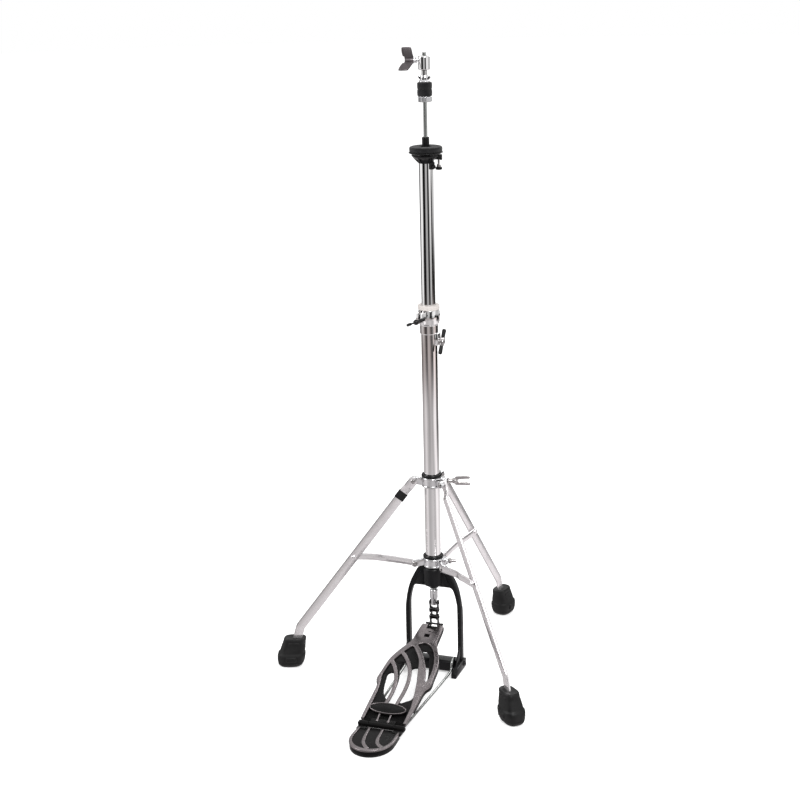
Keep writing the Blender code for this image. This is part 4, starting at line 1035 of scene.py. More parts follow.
@dataclass
class HeightLock:
    """The hinged clamp with its cream collar and its T screw."""

    low: float = 0.5836
    high: float = 0.6062
    top: float = 0.6137
    bore: float = 0.0114
    radius: float = 0.0163
    screw_z: float = 0.5900
    screw_azimuth: float = 244.0

    def build(self) -> None:
        """Make the clamp, the collar and the screw."""
        self._body()
        self._collar()
        self._screw()

    def _body(self) -> None:
        """The clamp body: a split ring, a square jaw and a hinge barrel."""
        gap = 7.0
        outer = arc(
            (0, 0), self.radius, self.screw_azimuth + gap, self.screw_azimuth + 360 - gap, 56
        )
        inner = arc(
            (0, 0), self.bore + 0.0002, self.screw_azimuth + 360 - gap, self.screw_azimuth + gap, 56
        )
        band = plate(outer + inner, self.low, self.high, bevel=0.0007)
        shapes: list[Shape] = here(band)
        turn = around(self.screw_azimuth)
        for side in (-1, 1):
            near, far = sorted((side * 0.0016, side * 0.0088))
            ear = block(
                (0.0136, near, self.low + 0.0012), (0.0214, far, self.high - 0.0018), 0.0015
            )
            shapes.append((ear, turn))
        barrel = headed_pin(0.0024, 0.0030, self.low + 0.0016, self.high - 0.0014)
        shapes.append(
            (barrel,
            around(self.screw_azimuth + 168) @ Matrix.Translation((self.radius + 0.0010, 0, 0)))
        )
        cheek = block(
            (self.radius - 0.0030, -0.0062, self.low + 0.0026), (self.radius + 0.0016, 0.0062,
            self.high - 0.0026), 0.0012
        )
        shapes.append((cheek, around(self.screw_azimuth + 168)))
        piece("height_lock_clamp", shapes, TUBE_CHROME, "height_lock", ["memory_lock"])

    def _collar(self) -> None:
        """The cream collar on top, with a shallow groove."""
        collar = turned(
            [(self.radius + 0.0004, self.high + 0.0003), (self.radius + 0.0009, self.high + 0.0014),
            (self.radius + 0.0009, self.high + 0.0030), (self.radius + 0.0005, self.high + 0.0034),
            (self.radius + 0.0009, self.high + 0.0038), (self.radius + 0.0009, self.top - 0.0012),
            (self.radius, self.top), (self.bore + 0.0004, self.top),
            (self.bore + 0.0001, self.top - 0.0006), (self.bore + 0.0001, self.high + 0.0003)], 72,
            0.0003
        )
        piece("height_lock_collar", here(collar), CREAM_PLASTIC, "height_lock", ["lock_collar"])

    def _screw(self) -> None:
        """The T screw, with slim arms and sleeved tips."""
        place = radial(self.screw_azimuth, self.screw_z)
        lean = Matrix.Rotation(math.radians(-68), 4, "Z")
        across_screw = place @ Matrix.Translation((0, 0, 0.0290)) @ lean
        hub = turned(
            [(0, 0.0119), (0.0025, 0.0119), (0.0025, 0.0255), (0.0042, 0.0264), (0.0046, 0.0290),
            (0.0034, 0.0316), (0, 0.0319)], 40, 0.0005
        )
        rod = pin(0.0013, -0.0190, 0.0190)
        shapes = [(hub, place), (rod, across_screw @ Matrix.Rotation(math.pi / 2, 4, "Y"))]
        piece(
            "height_lock_screw_hub", shapes, CHAIN_STEEL, "height_lock_screw",
            ["memory_lock_handle"]
        )
        tip = turned(
            [(0, 0.0112), (0.0020, 0.0112), (0.0024, 0.0130), (0.0024, 0.0200), (0.0016, 0.0212),
            (0, 0.0213)], 28, 0.0005
        )
        tips = TREES.run(Tree.RING, sleeve_across(tip), BLACK_RUBBER, Count=2, Step=math.pi)
        piece("height_lock_screw_tips", [(tips, across_screw)], BLACK_RUBBER, "height_lock_screw")


# ---------------------------------------------------------------- seat


@dataclass
class CymbalSeat:
    """The seat for the lower cymbal, on top of the upper tube."""

    screw_azimuth: float = 12.0
    screw_r: float = 0.0195
    set_azimuth: float = -26.0
    set_z: float = 0.8305
    pivot_z: float = 0.8490
    tube_r: float = 0.0114

    def build(self) -> None:
        """Make the funnel, cup, felt, sleeve and both screws."""
        self._base()
        self._cup()
        self._felt()
        self._tilt_screw()
        self._set_screw()
        dress("rod_guide", BLACK_PLASTIC)

    def _base(self) -> None:
        """The moulded funnel with its bracket and the set screw's boss."""
        funnel = turned(
            [(0.0120, 0.8350), (0.0122, 0.8390), (0.0150, 0.8408), (0.0188, 0.8434),
            (0.0218, 0.8458), (0.0222, 0.8478), (0.0052, 0.8478), (0.0052, 0.8388),
            (self.tube_r, 0.8383), (self.tube_r, 0.8350)], 72, 0.0006
        )
        shapes: list[Shape] = here(funnel)
        for side in (-1, 1):
            near, far = sorted((side * 0.0021, side * 0.0046))
            cheek = block((0.0125, near, 0.8404), (0.0246, far, 0.8476), 0.0007)
            shapes.append((cheek, around(self.screw_azimuth)))
        bridge = block((0.0218, -0.0040, 0.8396), (0.0248, 0.0040, 0.8440), 0.0007)
        shapes.append((bridge, around(self.screw_azimuth)))
        gusset = [
            (0.0119, 0.8355), (0.0128, 0.8355), (0.0196, 0.8428), (0.0196, 0.8446), (0.0119, 0.8446)
        ]
        rib = plate(gusset, -0.0008, 0.0008, bevel=0.0003)
        rib.transform(UPRIGHT)
        ribs = TREES.run(Tree.RING, rib, BLACK_PLASTIC, Count=5, Step=math.radians(60))
        shapes.append((ribs, around(self.screw_azimuth + 60)))
        boss = block((0.0115, -0.0042, 0.8260), (0.0150, 0.0042, 0.8372), 0.0009)
        shapes.append((boss, around(self.set_azimuth)))
        piece("seat_funnel", shapes, BLACK_PLASTIC, "upper_column", ["seat_base"])
        sleeve = turned(
            [(0.0066, 0.8480), (0.0056, 0.8500), (0.0056, 0.8732), (0.0050, 0.8744),
            (0.0036, 0.8744), (0.0036, 0.8480)], 48, 0.0004
        )
        piece("rod_sleeve", here(sleeve), BLACK_PLASTIC, "upper_column", ["seat_sleeve"])

    def _cup(self) -> None:
        """The tilting dish with a thin rim."""
        z = self.pivot_z
        dish = turned(
            [(0.0218, z + 0.0004), (0.0250, z + 0.0010), (0.0262, z + 0.0018), (0.0262, z + 0.0028),
            (0.0256, z + 0.0031), (0.0082, z + 0.0031), (0.0082, z + 0.0004)], 80, 0.0003
        )
        piece("seat_dish", here(dish), BLACK_PLASTIC, "cymbal_seat", ["seat_cup"])

    def _felt(self) -> None:
        """The thick felt washer, crowned and a little frayed at its edge."""
        z = self.pivot_z
        edge = [
            (0.0243, z + 0.0033), (0.0251, z + 0.0042), (0.0254, z + 0.0066), (0.0253, z + 0.0090),
            (0.0246, z + 0.0106), (0.0225, z + 0.0113), (0.0160, z + 0.0114), (0.0092, z + 0.0113),
            (0.0082, z + 0.0106), (0.0082, z + 0.0033)
        ]
        felt = ruffle(turned(edge, 120, 0.0008), 0.00014, 900.0)
        piece("seat_felt_washer", here(felt), BLACK_FELT, "cymbal_seat", ["seat_felt"])

    def _tilt_screw(self) -> None:
        """The thumb screw under the dish, with a knurled knob."""
        place = around(self.screw_azimuth) @ Matrix.Translation((self.screw_r, 0, 0))
        stem = turned(
            [(0, 0.8286), (0.0030, 0.8286), (0.0033, 0.8300), (0.0030, 0.8326), (0.0016, 0.8334),
            (0.0016, 0.8488), (0, 0.8490)], 32, 0.0003
        )
        piece("tilt_screw_stem", [(stem, place)], SCREW_CHROME, "tilt_thumb_screw", ["tilt_screw"])
        knob = turned(
            [(0, 0.8245), (0.0038, 0.8245), (0.0046, 0.8252), (0.0046, 0.8284), (0.0038, 0.8290),
            (0, 0.8291)], 48, 0.0004
        )
        ridge = pin(0.0005, 0.8250, 0.8286, 8, 0.0002)
        ridge.transform(Matrix.Translation((0.0046, 0, 0)))
        knurl = TREES.run(Tree.RING, ridge, BLACK_PLASTIC, Count=20, Step=math.tau / 20)
        piece("tilt_screw_knob", [(knob, place), (knurl, place)], BLACK_PLASTIC, "tilt_thumb_screw")

    def _set_screw(self) -> None:
        """The small screw that holds the funnel on the tube."""
        place = radial(self.set_azimuth, self.set_z)
        head = turned(
            [(0, 0.0117), (0.0015, 0.0117), (0.0015, 0.0154), (0.0027, 0.0156), (0.0027, 0.0180),
            (0, 0.0183)], 32, 0.0003
        )
        ridge = pin(0.0003, 0.0158, 0.0180, 6, 0.0001)
        ridge.transform(Matrix.Translation((0.0027, 0, 0)))
        knurl = TREES.run(Tree.RING, ridge, BLACK_PLASTIC, Count=14, Step=math.tau / 14)
        piece(
            "seat_set_screw_head", [(head, place), (knurl, place)], BLACK_PLASTIC,
            "seat_lock_screw", ["seat_set_screw"]
        )


def ruffle(mesh: Mesh, depth: float, scale: float) -> Mesh:
    """Move a mesh's points a little, in and out, as on felt or rubber.

    Args:
        mesh: The mesh to change.
        depth: The furthest a point moves.
        scale: How fine the unevenness is.

    Returns:
        The same mesh.
    """
    for vert in mesh.vertices:
        x, y, z = vert.co
        wave = math.sin(x * scale * 2.3 + 1.1) * math.sin(y * scale * 1.9 + 0.4)
        wave += 0.6 * math.sin((x - y) * scale * 3.7 + z * scale * 2.9)
        vert.co = Vector(vert.co) + vert.normal * depth * wave / 1.6
    mesh.update()
    return mesh


# ---------------------------------------------------------------- rod, clutch, chain


@dataclass
class PullRod:
    """The rod, its clevis and the spring parts inside the tube."""

    radius: float = 0.0030
    low: float = 0.1200
    high: float = 1.0010
    pin_z: float = 0.1096

    def build(self) -> None:
        """Make the rod and the clevis, and dress what is inside."""
        rod = turned(
            [(0, self.low), (self.radius, self.low), (self.radius, self.high - 0.0006),
            (self.radius - 0.0007, self.high), (0, self.high)], 48, 0.0003
        )
        piece("bright_pull_rod", here(rod), ROD_STEEL, "rod", ["pull_rod"])
        body = turned(
            [(0.0033, 0.1176), (0.0060, 0.1176), (0.0066, 0.1186), (0.0066, 0.1326),
            (0.0058, 0.1338), (0.0033, 0.1338)], 56, 0.0004
        )
        tongue = plate(
            arc((0, self.pin_z), 0.0046, 180, 360, 20) + [(0.0046, 0.1206), (-0.0046, 0.1206)],
            -0.0034, 0.0034, [arc((0, self.pin_z), 0.0020, 0, 360, 24)[:-1]], 0.0005
        )
        socket = turned(
            [(0.0009, 0.0058), (0.0017, 0.0058), (0.0017, 0.0067), (0.0009, 0.0067)], 24, 0.0001
        )
        shapes = here(body) + [(tongue, SIDEWAYS), (socket, radial(-72, 0.1285))]
        piece("clevis_chromed", shapes, CAST_CHROME, "rod", ["rod_clevis"])
        grub = pin(0.0010, 0.0052, 0.0062, 6)
        piece("clevis_grub_screw", [(grub, radial(-72, 0.1285))], CHAIN_STEEL, "rod")
        for node in ("return_spring", "spring_seat", "spring_cap"):
            dress(node, SPRING_WIRE)


@dataclass
class Clutch:
    """The clutch that carries the upper cymbal on the rod."""

    tube_r: float = 0.0042
    bore: float = 0.0033
    screw_z: float = 0.9892
    screw_azimuth: float = 199.0

    def build(self) -> None:
        """Make the barrel, nuts, felts and the wing screw."""
        self._barrel()
        self._top_nut()
        self._felts()
        self._bottom_nut()
        self._wing_screw()

    def _barrel(self) -> None:
        """The barrel, and the tube that it stands on with its thread."""
        barrel = turned(
            [(self.tube_r, 0.9276), (self.tube_r, 0.9744), (0.0080, 0.9748), (0.0090, 0.9758),
            (0.0090, 0.9942), (0.0081, 0.9955), (0.0036, 0.9956), (self.bore, 0.9952),
            (self.bore, 0.9276)], 72, 0.0005
        )
        shapes = here(barrel)
        piece("clutch_barrel", shapes, TUBE_CHROME, "clutch", ["clutch_body"])
        thread = turned([(0.0040, -0.0003), (0.00458, 0.0), (0.0040, 0.0003)], 40, 0.0001)
        rows = TREES.run(Tree.ROW, thread, CHAIN_STEEL, Count=7, Spacing=(0.0, 0.0, 0.0010))
        piece("clutch_thread", [(rows, Matrix.Translation((0, 0, 0.9678)))], CHAIN_STEEL, "clutch")

    def _top_nut(self) -> None:
        """The lock nut with two short ears and a flange under it."""
        flange = turned(
            [(0.0084, 0.9566), (0.0086, 0.9580), (0.0070, 0.9600), (0.0044, 0.9604),
            (0.0044, 0.9566)], 48, 0.0003
        )
        hub = turned(
            [(0.0062, 0.9598), (0.0064, 0.9640), (0.0056, 0.9670), (0.0044, 0.9672),
            (0.0044, 0.9598)], 48, 0.0004
        )
        ear = plate(
            [(0.0040, 0.9606), (0.0072, 0.9604), (0.0092, 0.9624), (0.0098, 0.9654),
            (0.0088, 0.9664), (0.0074, 0.9650), (0.0052, 0.9646)], -0.0014, 0.0014, bevel=0.0004
        )
        ear.transform(UPRIGHT)
        ears = TREES.run(Tree.RING, ear, CAST_CHROME, Count=2, Step=math.pi)
        piece("clutch_lock_nut", here(flange, hub, ears), CAST_CHROME, "clutch", ["clutch_top_nut"])

    def _felts(self) -> None:
        """Two felt washers, each a little barrelled."""
        fit = self.tube_r + 0.0003
        for name, low, high in (("upper", 0.9464, 0.9563), ("lower", 0.9361, 0.9461)):
            middle = (low + high) / 2
            edge = [
                (0.0104, low), (0.0112, low + 0.0008), (0.0114, middle), (0.0112, high - 0.0008),
                (0.0104, high), (fit, high), (fit, low)
            ]
            felt = ruffle(turned(edge, 96, 0.0006), 0.00012, 1100.0)
            piece(
                f"clutch_felt_washer_{name}", here(felt), BLACK_FELT, "clutch",
                [f"clutch_felt_{name}"]
            )

    def _bottom_nut(self) -> None:
        """The knurled nut under the felts."""
        fit = self.tube_r + 0.0003
        nut = turned(
            [(0.0092, 0.9270), (0.0101, 0.9278), (0.0101, 0.9350), (0.0096, 0.9358), (fit, 0.9358),
            (fit, 0.9270)], 64, 0.0004
        )
        ridge = pin(0.0007, 0.9276, 0.9352, 8, 0.0003)
        ridge.transform(Matrix.Translation((0.0100, 0, 0)))
        knurl = TREES.run(Tree.RING, ridge, CAST_CHROME, Count=30, Step=math.tau / 30)
        piece(
            "clutch_knurled_nut", here(nut, knurl), CAST_CHROME, "clutch_nut", ["clutch_bottom_nut"]
        )

    def _wing_screw(self) -> None:
        """The screw in bright steel and its two cast wings."""
        place = radial(self.screw_azimuth, self.screw_z)
        stem = turned(
            [(0, 0.0036), (0.0022, 0.0036), (0.0022, 0.0108), (0.0044, 0.0112), (0.0048, 0.0122),
            (0.0036, 0.0134), (0.0036, 0.0142), (0.0047, 0.0150), (0.0047, 0.0162), (0, 0.0164)],
            40, 0.0004
        )
        piece(
            "clutch_screw_stem", [(stem, place)], CAST_CHROME, "clutch_screw", ["clutch_wing_screw"]
        )
        core = turned(
            [(0, 0.0160), (0.0042, 0.0160), (0.0045, 0.0200), (0.0040, 0.0286), (0.0020, 0.0292),
            (0, 0.0293)], 36, 0.0006
        )
        outline = smooth_path(
            [(0.0020, 0.0164), (0.0100, 0.0166), (0.0180, 0.0176), (0.0196, 0.0200),
            (0.0196, 0.0300), (0.0180, 0.0322), (0.0100, 0.0312), (0.0050, 0.0296),
            (0.0016, 0.0280)], 4, True
        )
        shapes: list[Shape] = [(core, place)]
        for angle, slant in ((180, 0.10), (48, 0.45)):
            slanted = [(x, y + slant * max(x - 0.0040, 0.0)) for x, y in outline]
            wing = plate(slanted, -0.0014, 0.0014, bevel=0.0007)
            turn = Matrix.Rotation(math.radians(angle), 4, "Z") @ UPRIGHT
            shapes.append((wing, place @ turn))
            edge = ((0.0060, 0.0304), (0.0120, 0.0316), (0.0186, 0.0312))
            lip = path_bar([(x, 0.0, y + slant * (x - 0.0040)) for x, y in edge], 0.0012, GUNMETAL)
            shapes.append((lip, place @ Matrix.Rotation(math.radians(angle), 4, "Z")))
        piece("clutch_wings", shapes, GUNMETAL, "clutch_screw")


@dataclass
class Chain:
    """The three roller chain links between the clevis and the toe."""

    pitch: float = 0.0127
    bottom: float = 0.0715
    plate_half: float = 0.0052
    plate_thick: float = 0.0015

    def _side(self, hole_low: float, hole_high: float) -> Mesh:
        """One waisted side plate, its upper hole at the origin.

        Args:
            hole_low: Radius of the lower hole.
            hole_high: Radius of the upper hole.

        Returns:
            The plate, across X.
        """
        half = self.plate_half
        outline = arc((0, 0), half, -50, 230, 18)
        outline.append((-half * 0.66, -self.pitch / 2))
        outline += arc((0, -self.pitch), half, 130, 410, 18)
        outline.append((half * 0.66, -self.pitch / 2))
        holes = [
            arc((0, 0), hole_high, 0, 360, 24)[:-1],
            arc((0, -self.pitch), hole_low, 0, 360, 24)[:-1]
        ]
        made = plate(outline, -self.plate_thick / 2, self.plate_thick / 2, holes, 0.0003, 1)
        made.transform(SIDEWAYS)
        return made

    def build(self) -> None:
        """Make each link with its plates, and its pins or its bushes."""
        plan = (
            ("top", 0, 0.0065, (0, 1), 0.0016, 0.0016), ("middle", 1, 0.0047, (), 0.0019, 0.0019),
            ("bottom", 2, 0.0065, (0,), 0.0030, 0.0016),
        )
        for name, number, x, pins, hole_low, hole_high in plan:
            top = self.bottom + (3 - number) * self.pitch
            side = self._side(hole_low, hole_high)
            pair = TREES.run(Tree.ROW, side, CHAIN_STEEL, Count=2, Spacing=(2 * x, 0.0, 0.0))
            shapes: list[Shape] = [(pair, Matrix.Translation((-x, 0, top)))]
            for step in pins:
                where = across(0, 0, top - step * self.pitch)
                shapes.append((headed_pin(0.0017, 0.0024, -0.0073, 0.0073), where))
            if not pins:
                for step in (0, 1):
                    bush = ring(0.0019, 0.0038, -0.0040, 0.0040)
                    shapes.append((bush, across(0, 0, top - step * self.pitch)))
            piece(f"chain_{name}", shapes, CHAIN_STEEL, "chain", [f"chain_link_{name}"])


# ---------------------------------------------------------------- frame and pedal


@dataclass
class Yoke:
    """The cast frame, its crossbar, through bolt and radius rods."""

    top: float = 0.1745
    half_depth: float = 0.0060
    bolt_y: float = -0.0040
    bolt_z: float = 0.0085
    rod_r: float = 0.0021
    bar_front: float = -0.0310
    bar_top: float = 0.0210

    def build(self) -> None:
        """Make the casting, the bar across its feet, the bolt and the rods."""
        self._casting()
        self._crossbar()
        self._bolt()
        self._rods()

    def _arch(self) -> list[Pair]:
        """Half of the arch, from its top centre down and back up inside."""
        outer = smooth_path(
            [(0.0215, self.top), (0.0262, 0.1700), (0.0330, 0.1580), (0.0392, 0.1445),
            (0.0440, 0.1280), (0.0468, 0.1120), (0.0485, 0.0900), (0.0485, 0.0040)], 5
        )
        inner = smooth_path(
            [(0.0412, 0.0040), (0.0412, 0.0950), (0.0400, 0.1150), (0.0362, 0.1310),
            (0.0330, 0.1380), (0.0290, 0.1405)], 5
        )
        slot = [(0.0142, 0.1555), (0.0152, self.top)]
        return slot + outer + inner

    def _casting(self) -> None:
        """The arch with its boss, nose, beads and feet."""
        depth = self.half_depth
        arch = plate(mirrored(self._arch()), -depth, depth, bevel=0.0018, steps=3)
        boss = turned(
            [(0.0131, 0.1487), (0.0150, 0.1425), (0.0168, 0.1440), (0.0173, 0.1500),
            (0.0173, 0.1712), (0.0160, 0.1738), (0.0131, 0.1741)], 72, 0.0009
        )
        nose = turned(
            [(0.0040, 0.1368), (0.0072, 0.1370), (0.0085, 0.1388), (0.0092, 0.1480),
            (0.0040, 0.1480)], 48, 0.0008
        )
        shapes: list[Shape] = [(arch, UPRIGHT)] + here(boss, nose)
        for side in (-1, 1):
            bead_path = [
                (0.0300, 0.1585), (0.0362, 0.1480), (0.0416, 0.1320), (0.0444, 0.1130),
                (0.0459, 0.0900), (0.0460, 0.0150)
            ]
            for front in (-1, 1):
                points = [(side * x, front * (depth - 0.0002), z) for x, z in bead_path]
                shapes += here(path_bar(points, 0.0011, BLACK_POWDER))
            gusset = prism(
                [(0.0150, 0.1440), (0.0300, 0.1425), (0.0240, 0.1600), (0.0150, 0.1725)], -0.0085,
                0.0085, 0.0022
            )
            mirror = Matrix.Identity(4) if side > 0 else Matrix.Rotation(math.pi, 4, "Z")
            shapes.append((gusset, mirror @ UPRIGHT))
            near, far = sorted((side * 0.0432, side * 0.0520))
            foot = prism(
                [(-0.0480, 0.0), (0.0080, 0.0), (0.0080, 0.0140), (-0.0340, 0.0140),
                (-0.0440, 0.0112), (-0.0480, 0.0074)], near, far, 0.0012
            )
            shapes.append((foot, SIDEWAYS))
            web = prism(
                [(-0.0280, 0.0130), (-0.0050, 0.0130), (-0.0050, 0.0420)],
                *sorted((side * 0.0436, side * 0.0470)), 0.0008
            )
            shapes.append((web, SIDEWAYS))
        piece("yoke_casting", shapes, BLACK_POWDER, "stand", ["pedal_frame"])

    def _crossbar(self) -> None:
        """The bar between the feet, with a low black ridge on top."""
        reach = 0.0409
        front = self.bar_front
        outline = [
            (front + 0.002, 0.0030), (0.0050, 0.0030), (0.0050, 0.0140), (-0.0140, 0.0150),
            (-0.0160, self.bar_top), (front + 0.0025, self.bar_top), (front, self.bar_top - 0.0025),
            (front, 0.0050)
        ]
        bar = prism(outline, -reach, reach, 0.0010)
        ridge = block(
            (-0.0350, front + 0.0030, self.bar_top - 0.0004),
            (0.0350, -0.0168, self.bar_top + 0.0006), 0.0005
        )
        piece(
            "foot_crossbar", [(bar, SIDEWAYS), (ridge, Matrix.Identity(4))], BLACK_POWDER, "stand",
            ["frame_crossbar"]
        )

    def _bolt(self) -> None:
        """The through bolt with domed ends."""
        far = 0.0523
        bolt = headed_pin(0.0026, 0.0046, -far, far)
        slot_cut = ring(0.0012, 0.0022, far + 0.0012, far + 0.0022, 0.0002)
        place = across(0, self.bolt_y, self.bolt_z)
        piece(
            "frame_through_bolt", [(bolt, place), (slot_cut, place)], CHAIN_STEEL, "stand",
            ["frame_bolt"]
        )

    def _rods(self) -> None:
        """The two bright rods from the heel plate to the crossbar."""
        over = self.bar_top + 0.0003 + self.rod_r
        front = self.bar_front - 0.0003 - self.rod_r
        for name, side in (("left", -1), ("right", 1)):
            path = [
                (0.0265, -0.2680, 0.0060), (0.0300, -0.2350, 0.0060), (0.0345, -0.1500, 0.0062),
                (0.0380, -0.0800, 0.0068), (0.0392, -0.0480, 0.0074),
                (0.0394, front - 0.0040, 0.0092), (0.0394, front, 0.0140),
                (0.0394, front + 0.0004, over - 0.0036), (0.0394, front + 0.0036, over - 0.0003),
                (0.0394, front + 0.0075, over), (0.0394, front + 0.0148, over)
            ]
            rod = path_bar([(side * x, y, z) for x, y, z in path], self.rod_r, ROD_STEEL)
            piece(
                f"bright_radius_rod_{name}", here(rod), ROD_STEEL, "stand", [f"radius_rod_{name}"]
            )


@dataclass
class HeelPlate:
    """The heel plate: bright rim, black inlay, ribs and rubber pad."""

    hinge_y: float = -0.2570
    hinge_z: float = 0.0120
    half: float = 0.0350
    tip: float = -0.3370
    nose: float = 0.0430
    low: float = 0.0029
    top: float = 0.0120
    rim: float = 0.0044
    ribs: tuple = (
        ((-0.0165, -0.2640), (-0.0150, -0.2790), (-0.0125, -0.2990), (-0.0074, -0.3150),
        (0.0030, -0.3285)), ((0.0050, -0.2640), (0.0063, -0.2780), (0.0082, -0.2960),
        (0.0128, -0.3095), (0.0235, -0.3190))
    )

    def _outline(self, inset: float, tip_inset: float, back: float) -> list[Pair]:
        """The plate from above, moved inwards.

        Args:
            inset: How far the sides are moved in.
            tip_inset: How far the rounded tip is moved in.
            back: Where the straight rear edge is.

        Returns:
            The outline.
        """
        half = self.half - inset
        middle = self.tip + self.nose
        points = [(half * 0.965, back), (half * 0.985, (back + middle) / 2)]
        for step in range(41):
            turn = math.pi * step / 40
            points.append(
                (half * math.cos(turn), middle - (self.nose - tip_inset) * math.sin(turn) ** 0.92)
            )
        points += [(-half * 0.985, (back + middle) / 2), (-half * 0.965, back)]
        return points

    def build(self) -> None:
        """Make the rim, inlay, ribs, skirt, knuckles, pad and pin."""
        back = self.hinge_y - 0.0105
        outer = self._outline(0.0, 0.0, back)
        inner = self._outline(self.rim, self.rim + 0.0036, back)
        hoop = outer + inner[::-1]
        shapes = here(plate(hoop, self.top - 0.0030, self.top, bevel=0.0009, steps=3))
        for line in self.ribs:
            shapes += here(
                plate(ribbon(line, 0.0016, 0.0036), self.top - 0.0028, self.top - 0.0002,
                bevel=0.0008, steps=3)
            )
        piece("heel_rim_and_ribs", shapes, PEWTER, "stand", ["heel_plate"])
        inlay = plate(
            self._outline(0.0034, 0.0060, back), self.top - 0.0040, self.top - 0.0013, bevel=0.0004
        )
        skirt = plate(
            self._outline(0.0007, 0.0007, back), self.low, self.top - 0.0026, bevel=0.0012, steps=3
        )
        black: list[Shape] = here(inlay, skirt)
        for side in (-1, 1):
            knuckle = pin(0.0050, -0.0078, 0.0078, 40, 0.0008)
            black.append((knuckle, across(side * 0.0290, self.hinge_y, self.hinge_z)))
            near, far = sorted((side * 0.0216, side * 0.0360))
            black += here(
                block((near, self.hinge_y - 0.0150, 0.0066), (far, self.hinge_y - 0.0004, 0.0118),
                0.0010)
            )
        floor_plate = block(
            (-0.0205, self.hinge_y - 0.0125, self.low), (0.0205, self.hinge_y - 0.0056, 0.0102),
            0.0008
        )
        piece("heel_black_tray", black + here(floor_plate), BLACK_INLAY, "stand")
        pad = plate(self._outline(0.0012, 0.0012, back), 0.0, 0.0027, bevel=0.0006)
        grip = block((-0.0290, -0.2960, 0.0), (0.0290, -0.2940, 0.0008), 0.0002)
        grips = TREES.run(Tree.ROW, grip, BLACK_RUBBER, Count=5, Spacing=(0.0, 0.0050, 0.0))
        piece("heel_rubber_pad", here(pad, grips), BLACK_RUBBER, "stand", ["heel_pad"])
        hinge = headed_pin(0.0020, 0.0030, -0.0370, 0.0370)
        piece(
            "heel_hinge_pin", [(hinge, across(0, self.hinge_y, self.hinge_z))], CHAIN_STEEL,
            "stand", ["hinge_pin"]
        )


